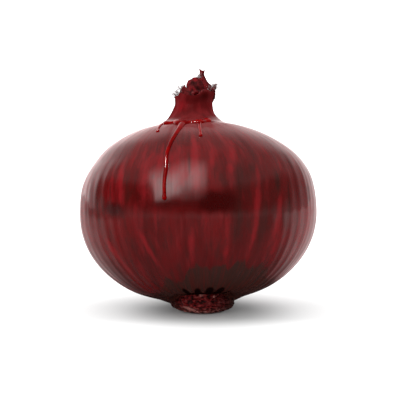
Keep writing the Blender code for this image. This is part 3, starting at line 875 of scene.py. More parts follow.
STREAKS = (
    Streak(Tint.CRIMSON, (-130, 16.0), (-127, 0.0), 1.8, 0.9),
    Streak(Tint.CRIMSON, (-136, 15.0), (-132, 0.0), 1.4, 0.6),
    Streak(Tint.CRIMSON, (-117, 16.0), (-115, 4.0), 2.4, 0.6),
    Streak(Tint.CRIMSON, (-109, 21.0), (-107, 12.0), 2.2, 0.5),
    Streak(Tint.CRIMSON, (-99, 22.0), (-99, 16.0), 2.4, 0.5),
    Streak(Tint.CRIMSON, (-89, 26.0), (-90, 8.0), 2.2, 0.9),
    Streak(Tint.CRIMSON, (-67, 23.0), (-74, 9.0), 2.8, 0.7),
    Streak(Tint.CRIMSON, (-76, -3.0), (-77, -18.0), 1.9, 0.6),
    Streak(Tint.CRIMSON, (-81, 20.0), (-82, 9.0), 1.6, 0.7),
    Streak(Tint.CRIMSON, (-70, 27.0), (-72, 21.0), 2.6, 0.7),
    Streak(Tint.CRIMSON, (-59, 13.0), (-64, -15.0), 1.7, 0.75),
    Streak(Tint.CRIMSON, (-48, 4.0), (-52, -12.0), 1.8, 0.6),
    Streak(Tint.CRIMSON, (-44, 16.0), (-45, 11.0), 1.8, 0.5),
    Streak(Tint.CRIMSON, (-93, -5.0), (-94, -17.0), 1.9, 0.7),
    Streak(Tint.CRIMSON, (-119, -6.0), (-112, -20.0), 1.8, 0.7),
    Streak(Tint.CRIMSON, (-140, -8.0), (-134, -21.0), 2.2, 0.8),
    Streak(Tint.DARK, (-125, 13.0), (-124, 4.0), 1.3, 0.9),
    Streak(Tint.DARK, (-47, 12.0), (-50, 3.5), 1.9, 1.0),
    Streak(Tint.DARK, (-68, 14.0), (-70, 3.0), 2.2, 0.9),
    Streak(Tint.DARK, (-62, 13.5), (-62, 11.0), 1.2, 0.8),
    Streak(Tint.DARK, (-41, 8.0), (-43, -4.0), 1.8, 0.9),
    Streak(Tint.DARK, (-95, 26.0), (-95, 22.0), 2.0, 0.8),
    Streak(Tint.DARK, (-93, 18.0), (-93, 10.0), 0.7, 0.8),
    Streak(Tint.DARK, (-71, 0.0), (-73, -12.0), 2.6, 0.8),
    Streak(Tint.DARK, (-57, 2.0), (-60, -14.0), 2.2, 0.8),
    Streak(Tint.DARK, (-145, 8.0), (-143, -4.0), 2.0, 0.8),
    Streak(Tint.DARK, (-54, 18.0), (-55, -2.0), 17.0, 0.22),
    Streak(Tint.CRIMSON, (-48, -6.0), (-52, -19.0), 7.0, 0.45),
    Streak(Tint.CRIMSON, (-98, 19.0), (-98, 6.5), 11.0, 0.65),
    Streak(Tint.CRIMSON, (-116, 22.0), (-113, 6.5), 7.0, 0.55),
    Streak(Tint.DEEP, (-81, 4.8), (-81, -1.6), 11.0, 1.0),
    Streak(Tint.DEEP, (-104, 3.4), (-104, 0.0), 12.0, 0.6),
    Streak(Tint.DEEP, (-134, 3.6), (-130, -1.6), 8.0, 0.8),
    # painted sheen on the shoulder below the liquid's pool
    Streak(Tint.PAINTED_LIGHT, (-82, 30.6), (-82, 26.4), 38.0, 1.0),
    # painted shade in the torn notches above the root plate
    Streak(Tint.CLEFT_SHADE, (-104, -25.0), (-103, -29.0), 3.0, 1.0),
    Streak(Tint.CLEFT_SHADE, (-93, -25.2), (-94, -29.0), 3.6, 1.0),
    Streak(Tint.CLEFT_SHADE, (-83, -24.9), (-83, -29.0), 4.4, 1.0),
    Streak(Tint.CLEFT_SHADE, (-73, -25.2), (-73, -29.0), 4.4, 1.0),
    Streak(Tint.CLEFT_SHADE, (-63, -26.8), (-63, -29.0), 3.2, 0.9),
    Streak(Tint.CRIMSON, (-22, 2.0), (-32, -20.0), 13.0, 0.55),
    Streak(Tint.CRIMSON, (-166, 12.0), (-160, -12.0), 14.0, 0.4),
    # painted shade on the neck below the leaf ends
    Streak(Tint.DARK, (-58, 40.6), (-60, 37.8), 24.0, 1.0),
    Streak(Tint.CRIMSON, (-124, 38.5), (-124, 34.0), 26.0, 0.7),
)

# The upper edge of the scorched base, as (azimuth in degrees, height in mm), round the bulb
SCORCH_EDGE = (
    (-180, -26.0),
    (-150, -27.5),
    (-133, -26.5),
    (-118, -24.0),
    (-112, -21.0),
    (-106, -22.3),
    (-100, -21.3),
    (-92, -17.4),
    (-86, -19.2),
    (-80, -17.8),
    (-74, -19.0),
    (-67, -16.5),
    (-60, -19.4),
    (-52, -18.3),
    (-39, -22.5),
    (-20, -24.0),
    (0, -26.5),
    (24, -24.5),
    (51, -26.5),
    (77, -23.0),
    (98, -25.5),
    (121, -22.5),
    (148, -25.5),
    (165, -23.5),
    (180, -26.0),
)


@dataclass
class SkinnedBulb:
    """The bulb in its dry skin, with a torn rim above and a toothed edge below.

    Its lip runs down the inside of the rim in steps of (drop, way inwards) in mm. The mouth's floor has
    rings at shares of its radius.
    """

    columns: int = 480
    rows: int = 182
    lip_steps: tuple[tuple[float, float], ...] = (
        (-0.05, 0.25),
        (-0.4, 0.5),
        (-1.0, 0.75),
        (-1.8, 1.0),
        (-2.8, 1.15),
    )
    lip_fade: float = 4.5
    floor_rings: tuple[float, ...] = (1.0, 0.7, 0.35, 0.0)
    floor_dip: float = 0.6 * MM
    scorch_feather: float = 5.0 * MM
    fold_height: float = 0.22 * MM
    inset: float = 0.3 * MM
    rib_count: int = 58
    rib_height: float = 0.15 * MM
    rib_width: float = 0.3
    rib_stray: float = 0.2
    rib_seed: int = 4
    sharp_angle: float = math.radians(50)
    pocket_radius: float = 10.6 * MM
    pocket_points: int = 30
    notch: tuple[float, float] = (0.3 * MM, 1.8 * MM)
    pocket_ceiling: float = 9.4 * MM
    pocket_floor: float = -4.0 * MM
    pocket_seed: int = 12

    def neck_folds(self, azimuth: Points, height: Points) -> Points:
        """The lengthwise wrinkles of the neck."""
        fold = 0.6 * np.sin(5 * azimuth + 0.6 + 60 * height) + 0.3 * np.sin(9 * azimuth + 2.0)
        fold = fold + 0.12 * np.sin(17 * azimuth + 90 * height)
        return self.fold_height * fold * smoothstep(30.5 * MM, 36 * MM, height)

    def outer_grid(self) -> tuple[Points, Points]:
        """Azimuths and heights of the outer skin, from the bottom pole to the rim."""
        azimuth = np.linspace(-math.pi, math.pi, self.columns, endpoint=False)
        height = FORM.outline(self.rows)
        return azimuth[None, :], height[:, None]

    def mouth_rings(self, azimuth: Points) -> list[tuple[Points, Points]]:
        """The rings from the lip down to the middle of the mouth's floor.

        Args:
            azimuth: The azimuth of each column.

        Returns:
            For each ring, its points in the bulb's frame and their heights.
        """
        lip = FORM.neck_radius + FORM.rim_flare * (0.8 + 0.2 * np.cos(azimuth))
        lip = lip + self.neck_folds(azimuth, np.array(FORM.rim_height))
        lift = FORM.rim_lift(azimuth)
        x, y = FORM.sway(np.array(FORM.rim_height))
        rings = []
        for drop, inward in self.lip_steps:
            fade = 1.0 + drop / self.lip_fade
            rings.append((lip - inward * MM, FORM.rim_height + drop * MM + lift * fade))
        for share in self.floor_rings:
            radius = np.full_like(azimuth, FORM.mouth_radius * share)
            floor = np.full_like(azimuth, FORM.mouth_floor - self.floor_dip * (1.0 - share))
            rings.append((radius, floor))
        return [
            (np.stack([x + r * np.cos(azimuth), y + r * np.sin(azimuth), h], axis=-1), h)
            for r, h in rings
        ]

    def body_mesh(self) -> bpy.types.Mesh:
        """The closed bulb with its colour masks, before its ribs."""
        azimuth, height = self.outer_grid()
        on_body = 1.0 - smoothstep(24 * MM, 31 * MM, height)
        relief = self.neck_folds(azimuth, height) - self.inset * on_body
        outer = FORM.skin(azimuth, height, relief)
        outer[0] = outer[0].mean(axis=0)
        rings = self.mouth_rings(azimuth[0])
        grid = np.concatenate([outer, np.stack([ring for ring, _ in rings])])
        levels = np.concatenate(
            [np.repeat(height, self.columns, axis=1), np.stack([level for _, level in rings])]
        )
        turns = np.repeat(azimuth, len(grid), axis=0)
        mesh = grid_mesh("bulb_skin", FORM.to_part(grid), True)
        unit = levels / FORM.equator_radius
        paint(mesh, "meridian", np.stack([np.cos(turns), np.sin(turns), unit], axis=-1).reshape(-1, 3))
        for tint in Tint:
            masks = [1.0 - s.mask(turns, levels) for s in STREAKS if s.tint is tint]
            share = 1.0 - np.prod(masks, axis=0)
            # painted shade: the rings inside the mouth, below its first lip ring, take the dark mask in
            # full
            share[len(outer) + 1 :] = 1.0 if tint is Tint.DARK else 0.0
            paint(mesh, tint.value, share.ravel())
        edge = np.interp(np.degrees(turns), *zip(*SCORCH_EDGE)) * MM
        scorch = 0.5 + (edge - levels) / self.scorch_feather
        paint(mesh, "scorch", scorch.clip(-1.0, 2.0).ravel())
        close_poles(mesh)
        mesh.shade_smooth()
        return mesh

    def rib_tree(self) -> GeometryTree:
        """The tree that raises low ribs along the meridians."""
        tree = GeometryTree(
            "meridian_ribs",
            {
                "Rib count": ("NodeSocketInt", self.rib_count),
                "Rib height": ("NodeSocketFloat", self.rib_height),
                "Rib width": ("NodeSocketFloat", self.rib_width),
                "Stray": ("NodeSocketFloat", self.rib_stray),
            },
        )
        across, along, level = tree.axes(tree.vector("meridian"))
        count = tree.given("Rib count")
        place = tree.math("ARCTAN2", along, across) * (1.0 / FULL_TURN) * count
        cell = tree.math("FLOOR", place)
        stray = tree.given("Stray")
        relief: Number = 0.0
        for beside in (-1, 0, 1):
            own = cell + float(beside)
            number = tree.math("ROUND", tree.math("FLOORED_MODULO", own, count))
            shift = tree.random(self.rib_seed, -1.0, 1.0, number) * stray
            height = tree.random(self.rib_seed + 1, 0.35, 1.0, number)
            gap = (place - own - 0.5 - shift) / tree.given("Rib width")
            relief = height * tree.math("EXPONENT", gap * gap * -1.0) + relief
        fade = tree.step(level, -0.80, -0.55) * tree.step(level, 0.50, 0.25)
        calm = tree.step(along, -0.70, -0.90) * tree.step(level, -0.15, 0.05)
        relief = relief * fade * (1.0 - 0.85 * calm)
        normal = tree.add("GeometryNodeInputNormal").outputs[0]
        sockets = {0: normal, "Scale": relief * tree.given("Rib height")}
        rise = tree.add("ShaderNodeVectorMath", {"operation": "SCALE"}, sockets)
        sockets = {"Geometry": tree.given("Geometry"), "Offset": rise.outputs[0]}
        tree.finish(tree.add("GeometryNodeSetPosition", None, sockets).outputs[0])
        return tree

    def pocket_cutter(self) -> bpy.types.Object:
        """A jagged upright prism that leaves teeth in the skin's lower edge."""
        draw = random.Random(self.pocket_seed)
        corners = []
        for point in range(self.pocket_points):
            turn = FULL_TURN * (point + draw.uniform(-0.2, 0.2)) / self.pocket_points
            corners.append((turn, self.pocket_radius + draw.uniform(0.0, 0.25) * MM))
            turn += FULL_TURN * draw.uniform(0.4, 0.6) / self.pocket_points
            corners.append((turn, self.pocket_radius + draw.uniform(*self.notch)))
        rings = (
            (0.0, self.pocket_floor),
            (1.0, self.pocket_floor),
            (1.0, self.pocket_ceiling),
            (0.0, self.pocket_ceiling),
        )
        grid = np.zeros((len(rings), len(corners), 3))
        for column, (turn, radius) in enumerate(corners):
            out = np.array((math.cos(turn), math.sin(turn), 0.0)) * radius
            for row, (share, height) in enumerate(rings):
                grid[row, column] = out * share
                grid[row, column, 2] = height
        mesh = grid_mesh("pocket_cutter", grid, True)
        close_poles(mesh)
        return new_object("pocket_cutter", mesh)

    def build(self, finish: bpy.types.Material) -> bpy.types.Object:
        """Makes the finished bulb."""
        bulb = new_object("bulb_skin", self.body_mesh())
        self.rib_tree().apply(bulb, finish)
        cutter = self.pocket_cutter()
        cut = bulb.modifiers.new("pocket", "BOOLEAN")
        cut.operation = "DIFFERENCE"
        cut.object = cutter
        cut.solver = "MANIFOLD"
        bake_modifiers(bulb)
        bpy.data.objects.remove(cutter)
        dress(bulb, finish)
        bulb.data.set_sharp_from_angle(angle=self.sharp_angle)
        return bulb


# The dried leaf ends


@dataclass(frozen=True)
class LeafEnd:
    """One withered leaf end: a crumpled ribbon along a bent line.

    Its stations are (x, y, height) in mm in the bulb's own frame, from its foot to its tip, with its
    widths in mm at the same stations. It faces one azimuth all along, in degrees. Cup is how far its
    edges bend back, as a share of its width, and fork is how deep its tip is split, in mm.
    """

    name: str
    facing: float
    stations: tuple[tuple[float, float, float], ...]
    widths: tuple[float, ...]
    cup: float = 0.2
    crumple: float = 0.3
    fork: float = 0.0
    # how much painted shade darkens the ribbon's right side
    shade: float = 0.0
    span_pieces: int = 12
    seed: float = 0.0

    def surface(self, rows: int, across: int) -> tuple[Points, Points, Points]:
        """The ribbon's middle surface in the bulb's frame, with two masks.

        Args:
            rows: Points along it.
            across: Points across it.

        Returns:
            The grid of points, how near each is to a pale edge, which is partly a painted highlight,
            and how much painted shade it has.
        """
        turn = math.radians(self.facing)
        out = Vector((math.cos(turn), math.sin(turn), 0.0))
        side = Vector((-math.sin(turn), math.cos(turn), 0.0))
        stations = [(*station, width) for station, width in zip(self.stations, self.widths)]
        route = smooth_route(stations, self.span_pieces)
        shares = np.linspace(0, len(route) - 1, rows)
        samples = np.stack([np.interp(shares, range(len(route)), column) for column in route.T], axis=1)
        grid = np.zeros((rows, across, 3))
        edge = np.zeros((rows, across))
        for row, (x, y, height, width) in enumerate(samples):
            along = row / (rows - 1)
            wander = rough(Vector((along * 4, self.seed, 0)), 0.35, 3.0)
            ragged = 1.0 + 0.16 * wander * smoothstep(0.3, 0.7, along)
            for column in range(across):
                aside = 2.0 * column / (across - 1) - 1.0
                notch = self.fork * max(0.0, 1.0 - (aside - 0.3) ** 2) * smoothstep(0.86, 1.0, along)
                teeth = 0.9 * rough(Vector((aside * 4.5, self.seed, 1.0)), 1.0, 2.0)
                teeth = teeth * smoothstep(0.7, 1.0, along) * (self.fork == 0.0)
                place = Vector((x, y, height - notch + teeth))
                place = place + side * (aside * ragged * width / 2)
                place = place - out * (self.cup * width * aside * aside)
                wave = Vector(
                    rough(place, 1.6, self.seed + axis) + 0.5 * rough(place, 0.7, self.seed + 3 + axis)
                    for axis in range(3)
                )
                place = place + wave * self.crumple * smoothstep(0.05, 0.35, along)
                grid[row, column] = place * MM
                # pale torn edges; the left edges are paler than the right, which is a painted highlight
                rim = abs(aside) ** 5 * (1.0 if aside < 0 else 0.3)
                edge[row, column] = max(rim, 0.7 * smoothstep(0.93, 1.0, along))
        # painted shade: the ribbon's right side is painted darker
        dark = np.tile(self.shade * smoothstep(-0.2, 0.5, np.linspace(-1.0, 1.0, across)), (rows, 1))
        return grid, edge, dark


LEAF_ENDS = (
    LeafEnd(
        "spike",
        -84,
        (
            (5.0, -2.6, 38.4),
            (5.5, -3.0, 40.4),
            (5.2, -2.8, 42.4),
            (4.7, -2.3, 43.7),
            (4.2, -1.9, 44.8),
            (3.75, -1.6, 46.0),
            (3.4, -1.4, 47.2),
            (3.5, -1.3, 48.4),
            (3.55, -1.2, 49.2),
        ),
        (4.8, 4.4, 3.4, 2.3, 1.6, 1.5, 1.45, 1.75, 2.1),
        cup=0.1,
        crumple=0.1,
        fork=0.95,
        shade=0.9,
        seed=1.3,
    ),
    LeafEnd(
        "right_lip",
        -46,
        ((5.0, -3.4, 38.2), (5.7, -3.6, 39.6), (6.6, -3.3, 41.0), (7.5, -2.8, 42.1), (7.9, -2.5, 43.0)),
        (4.4, 4.2, 3.0, 1.7, 0.5),
        crumple=0.14,
        shade=0.7,
        seed=4.1,
    ),
    LeafEnd(
        "right_back",
        30,
        ((6.2, 2.0, 37.8), (7.0, 2.2, 39.8), (7.2, 2.2, 41.6), (6.9, 2.0, 43.2)),
        (5.4, 4.6, 3.2, 1.0),
        seed=5.6,
    ),
    LeafEnd(
        "front_wrap",
        -78,
        ((3.0, -4.6, 37.6), (3.6, -4.9, 39.2), (4.6, -4.5, 40.6), (5.2, -3.4, 42.0)),
        (6.4, 6.0, 4.4, 2.0),
        crumple=0.2,
        seed=7.9,
    ),
    LeafEnd(
        "front_left",
        -118,
        ((-2.0, -3.9, 37.6), (-2.5, -4.2, 39.6), (-2.7, -3.8, 41.4), (-3.2, -3.1, 43.0)),
        (6.4, 5.6, 3.8, 1.2),
        crumple=0.26,
        seed=9.2,
    ),
    LeafEnd(
        "left_curl",
        -160,
        ((-4.6, -1.6, 36.8), (-5.0, -1.9, 38.2), (-5.5, -2.2, 39.0), (-6.2, -2.4, 39.6)),
        (4.6, 4.0, 2.6, 0.9),
        crumple=0.2,
        seed=2.4,
    ),
    LeafEnd(
        "back_left",
        140,
        ((-3.4, 3.0, 37.6), (-4.0, 3.4, 40.0), (-3.9, 3.5, 41.8), (-3.4, 3.2, 43.4)),
        (5.6, 4.6, 3.2, 1.2),
        seed=6.6,
    ),
    LeafEnd(
        "back",
        92,
        ((1.0, 4.6, 37.8), (1.0, 5.2, 40.4), (1.3, 5.2, 42.6), (1.8, 4.8, 44.4)),
        (6.4, 5.4, 3.8, 1.4),
        seed=8.3,
    ),
    LeafEnd(
        "inner_right",
        -20,
        ((3.2, -0.8, 38.8), (4.0, -0.8, 41.4), (4.0, -0.4, 43.6), (3.4, 0.2, 45.4)),
        (5.4, 5.0, 3.8, 2.0),
        cup=0.3,
        seed=3.7,
    ),
)


@dataclass
class LeafTuft:
    """The dried leaf ends that stand in the mouth of the neck, round a folded heart."""

    rows: int = 44
    across: int = 15
    thickness: float = 0.28 * MM
    heart_place: tuple[float, float, float] = (1.2 * MM, -0.8 * MM, 41.8 * MM)
    heart_size: tuple[float, float, float] = (3.6 * MM, 4.3 * MM, 4.5 * MM)
    heart_twist: float = 2.0
    waist_height: float = 40.4 * MM
    waist_slope: float = 0.2
    heart_rows: int = 60
    heart_columns: int = 96
    heart_rough: float = 0.3 * MM
    heart_lump: float = 1.6 * MM
    heart_seeds: tuple[float, float, float] = (1.0, 5.0, 9.0)

    def heart_mesh(self) -> bpy.types.Mesh:
        """The folded heart: a lump with deep, twisted creases."""
        angle = np.linspace(-math.pi / 2, math.pi / 2, self.heart_rows)[:, None]
        turn = np.linspace(0.0, FULL_TURN, self.heart_columns, endpoint=False)[None, :]
        fold = np.abs(np.sin(1.5 * turn + 1.5 * angle + self.heart_twist)) ** 0.6
        crease = 0.80 + 0.20 * fold + 0.04 * np.sin(7 * turn + 4 * angle)
        width, depth, height = self.heart_size
        x, y, middle = self.heart_place
        line = self.waist_height + self.waist_slope * (x + width * np.cos(turn))
        waist = smoothstep(line + 0.2 * MM, line - 0.7 * MM, middle + height * np.sin(angle))
        round_off = np.maximum(np.cos(angle), 0.0) ** 0.8 * (1.0 - 0.12 * waist)
        grid = np.stack(
            np.broadcast_arrays(
                x + width * round_off * np.cos(turn) * crease,
                y + depth * round_off * np.sin(turn) * crease,
                middle + height * np.sin(angle) * (0.9 + 0.1 * crease),
            ),
            axis=-1,
        )
        for place in grid.reshape(-1, 3):
            spot = Vector(place)
            stray = [rough(spot, self.heart_lump, seed) for seed in self.heart_seeds]
            place += self.heart_rough * np.array(stray)
        mesh = grid_mesh("heart", FORM.to_part(grid), True)
        # painted highlight: a pale ridge along the heart's lower fold, above its waist
        ridge = np.exp(-(((middle + height * np.sin(angle) - line - 0.35 * MM) / (0.3 * MM)) ** 2))
        paint(mesh, "edge", (0.55 * ridge).ravel())
        # painted shade in the heart's waist and in its creases
        painted_shade = np.maximum(waist, smoothstep(0.80, 0.35, fold))
        paint(mesh, "painted_shade", painted_shade.ravel())
        paint(mesh, "bud", (1.0 - painted_shade).ravel())
        close_poles(mesh)
        return mesh

    def leaf(self, leaf: LeafEnd) -> bpy.types.Object:
        """One leaf end as an object of its own, thin and closed."""
        grid, edge, dark = leaf.surface(self.rows, self.across)
        mesh = grid_mesh(leaf.name, FORM.to_part(grid), False)
        paint(mesh, "edge", edge.ravel())
        paint(mesh, "painted_shade", dark.ravel())
        obj = new_object(leaf.name, mesh)
        wall = obj.modifiers.new("wall", "SOLIDIFY")
        wall.thickness = self.thickness
        wall.offset = 0.0
        bake_modifiers(obj)
        return obj

    def build(self, finish: bpy.types.Material) -> bpy.types.Object:
        """Makes the finished tuft, as one piece."""
        tuft = new_object("leaf_tuft", self.heart_mesh())
        join(tuft, [self.leaf(leaf) for leaf in LEAF_ENDS])
        dress(tuft, finish)
        return tuft


@dataclass
class TornFibres:
    """Fine dry fibres that stand out of the torn edges of the neck.

    Its groups are (x, y, height, spread) in mm in the bulb's own frame, with a count.
    """

    length: float = 2.3 * MM
    thickness: float = 0.04 * MM
    seed: int = 21
    groups: tuple[tuple[float, float, float, float, int], ...] = (
        (-5.4, -2.0, 40.6, 0.8, 260),
        (-3.8, -1.8, 42.6, 0.7, 160),
        (6.9, -2.4, 42.5, 0.8, 280),
        (2.3, -0.8, 46.2, 0.6, 190),
        (0.0, 4.4, 42.6, 2.4, 80),
    )

    def roots_mesh(self) -> bpy.types.Mesh:
        """The points that the fibres grow from, with the way each one leans."""
        draw = random.Random(self.seed)
        places, leans = [], []
        for x, y, height, spread, count in self.groups:
            for _ in range(count):
                stray = Vector(draw.gauss(0.0, spread) for _ in range(3))
                place = Vector((x, y, height)) + Vector((stray.x, stray.y, 0.7 * stray.z))
                places.append(place * MM)
                lean = Vector((place.x, place.y, 3.5)).normalized() + stray.yzx * (0.5 / spread)
                leans.append(lean.normalized())
        mesh = bpy.data.meshes.new("fibre_roots")
        mesh.from_pydata(FORM.to_part(np.array(places)).tolist(), [], [])
        paint(mesh, "lean", np.array(leans))
        return mesh

    def tree(self) -> GeometryTree:
        """The tree that sets a thin tapered fibre on each point."""
        tree = GeometryTree(
            "torn_fibres",
            {
                "Length": ("NodeSocketFloat", self.length),
                "Thickness": ("NodeSocketFloat", self.thickness),
            },
        )
        fibre = tree.cone(5, 3, 0.0, tree.given("Thickness"), tree.given("Length"))
        size = tree.random(self.seed, 0.35, 1.0)
        tree.finish(tree.scatter(tree.given("Geometry"), fibre, tree.vector("lean"), size))
        return tree

    def build(self, finish: bpy.types.Material) -> bpy.types.Object:
        """Makes the fibres, as one piece."""
        fibres = new_object("torn_fibres", self.roots_mesh())
        self.tree().apply(fibres, finish)
        fibres.data.shade_smooth()
        return fibres


# The root plate


@dataclass
class RootPlate:
    """The corky foot of the onion, with its cut roots.

    Its side is (share of the radius, share of the height) from below. Its pale chips are (azimuth in
    degrees, height in mm, half width in degrees, half height in mm).
    """

    radius: float = 10.0 * MM
    rest_radius: float = 5.6 * MM
    top: float = 9.0 * MM
    side: tuple[tuple[float, float], ...] = (
        (0.74, 0.035),
        (0.88, 0.10),
        (0.97, 0.22),
        (1.0, 0.40),
        (0.97, 0.66),
        (0.88, 0.88),
        (0.70, 1.0),
    )
    under: tuple[float, ...] = (0.0, 0.3, 0.6, 0.8, 0.93)
    columns: int = 360
    rows: int = 54
    relief: float = 0.42 * MM
    layer_height: float = 0.42 * MM
    layer_stretch: float = 2.4
    lump_size: float = 1.7 * MM
    side_rise: tuple[float, float] = (0.1 * MM, 0.8 * MM)
    side_reach: tuple[float, float] = (0.4, 0.8)
    low_level: tuple[float, float] = (3.0 * MM, 1.0 * MM)
    collar_bulge: float = 0.8 * MM
    collar_turn: tuple[float, float] = (48, 64)
    collar_rise: tuple[float, float] = (0.4 * MM, 1.6 * MM)
    collar_stray: float = 8.0
    stub_rise: tuple[float, float] = (0.8 * MM, 1.6 * MM)
    stub_fall: tuple[float, float] = (8.4 * MM, 7.0 * MM)
    stub_density: float = 50000.0
    stub_length: float = 1.3 * MM
    stub_radius: float = 0.26 * MM
    stub_taper: float = 0.72
    stub_sunk: float = 0.62
    stub_stray: float = 0.45
    sharp_angle: float = math.radians(45)
    seed: int = 8
    chips: tuple[tuple[float, float, float, float], ...] = (
        (-124.0, 2.4, 11.0, 0.6),
        (-110.0, 1.7, 9.0, 0.5),
        (-84.0, 1.1, 6.0, 0.5),
        (-93.0, 6.9, 6.0, 0.5),
        (-66.0, 6.4, 3.0, 0.5),
        (150.0, 2.0, 12.0, 0.6),
        (40.0, 1.6, 10.0, 0.6),
    )

    def chip(self, angle: float, height: float) -> float:
        """How pale one place of the side is, by its chips of dry flesh.

        Args:
            angle: Its azimuth, in radians.
            height: Its height above the floor.

        Returns:
            The share, from 0 to 1.
        """
        share = 0.0
        for turn, rise, half_turn, half_rise in self.chips:
            aside = math.degrees(math.remainder(angle - math.radians(turn), FULL_TURN)) / half_turn
            share += math.exp(-(aside**2) - ((height / MM - rise) / half_rise) ** 2)
        return min(share, 1.0)

    def body_mesh(self) -> bpy.types.Mesh:
        """The plate's body: a turned form whose side is broken into uneven layers."""
        side = [(share * self.radius, rise * self.top) for share, rise in self.side]
        profile = smooth_route([(self.rest_radius, 0.0), *side], self.rows // len(side))
        under = [(self.rest_radius * share, 0.0) for share in self.under]
        outline = np.array([*under, *profile, (0.0, self.top)])
        turn = np.linspace(0.0, FULL_TURN, self.columns, endpoint=False)
        grid = np.zeros((len(outline), self.columns, 3))
        relief = np.zeros(grid.shape[:2])
        collar = np.zeros(grid.shape[:2])
        chips = np.zeros(grid.shape[:2])
        for row, (radius, height) in enumerate(outline):
            on_side = smoothstep(*self.side_rise, height)
            on_side = on_side * smoothstep(*self.side_reach, radius / self.radius)
            raised = smoothstep(*self.collar_rise, height)
            for column, angle in enumerate(turn):
                spot = Vector((math.cos(angle), math.sin(angle), 0.0))
                spot *= self.radius if height > 0.0 else radius
                flat = Vector((spot.x / self.layer_stretch, spot.y / self.layer_stretch, height))
                layer = rough(flat, self.layer_height, 2.0)
                lump = rough(Vector((spot.x, spot.y, height)), self.lump_size, 7.0)
                relief[row, column] = 0.5 + 0.85 * layer + 0.25 * lump
                reach = radius + self.relief * (relief[row, column] - 0.6) * on_side * 2.0
                off_front = abs(math.degrees(math.atan2(math.cos(angle), -math.sin(angle))))
                beside = off_front + self.collar_stray * lump
                collar[row, column] = smoothstep(*self.collar_turn, beside) * raised
                reach += self.collar_bulge * collar[row, column] * on_side
                chips[row, column] = self.chip(angle, height)
                grid[row, column] = (reach * math.cos(angle), reach * math.sin(angle), height)
        mesh = grid_mesh("root_plate_cork", grid, True)
        paint(mesh, "relief", relief.clip(0.0, 1.0).ravel())
        paint(mesh, "collar", collar.ravel())
        paint(mesh, "chip", chips.ravel())
        level = np.repeat(outline[:, 1:], self.columns, axis=1)
        paint(mesh, "low", smoothstep(*self.low_level, level).ravel())
        close_poles(mesh)
        mesh.shade_smooth()
        return mesh

    def stub_tree(self) -> GeometryTree:
        """The tree that scatters cut roots over the plate's side."""
        tree = GeometryTree(
            "cut_roots",
            {
                "Density": ("NodeSocketFloat", self.stub_density),
                "Length": ("NodeSocketFloat", self.stub_length),
                "Radius": ("NodeSocketFloat", self.stub_radius),
            },
        )
        height = tree.axes(tree.add("GeometryNodeInputPosition").outputs[0])[2]
        band = tree.step(height, *self.stub_rise) * tree.step(height, *self.stub_fall)
        points = tree.add(
            "GeometryNodeDistributePointsOnFaces",
            {"distribute_method": "RANDOM"},
            {
                "Mesh": tree.given("Geometry"),
                "Density": tree.given("Density") * band,
                "Seed": self.seed,
            },
        )
        radius = tree.given("Radius")
        stub = tree.cone(7, 2, radius * self.stub_taper, radius, tree.given("Length"))
        sockets = {"Geometry": stub, "Translation": (0.0, 0.0, -self.stub_sunk * self.stub_length)}
        sunk = tree.add("GeometryNodeTransform", None, sockets)
        jitter = [tree.random(self.seed + axis, -self.stub_stray, self.stub_stray) for axis in range(3)]
        stray = tree.add("ShaderNodeCombineXYZ", None, dict(enumerate(jitter)))
        sockets = {0: points.outputs["Normal"], 1: stray.outputs[0]}
        aim = tree.add("ShaderNodeVectorMath", {"operation": "ADD"}, sockets)
        size = tree.random(self.seed + 5, 0.6, 1.15)
        stubs = tree.scatter(points.outputs["Points"], sunk.outputs[0], aim.outputs[0], size)
        both = tree.add("GeometryNodeJoinGeometry")
        tree.nodes.links.new(stubs, both.inputs[0])
        tree.nodes.links.new(tree.given("Geometry").socket, both.inputs[0])
        tree.finish(both.outputs[0])
        return tree

    def build(self, finish: bpy.types.Material) -> bpy.types.Object:
        """Makes the finished root plate."""
        plate = new_object("root_plate_cork", self.body_mesh())
        self.stub_tree().apply(plate, finish)
        plate.data.shade_smooth()
        plate.data.set_sharp_from_angle(angle=self.sharp_angle)
        return plate


# The liquid


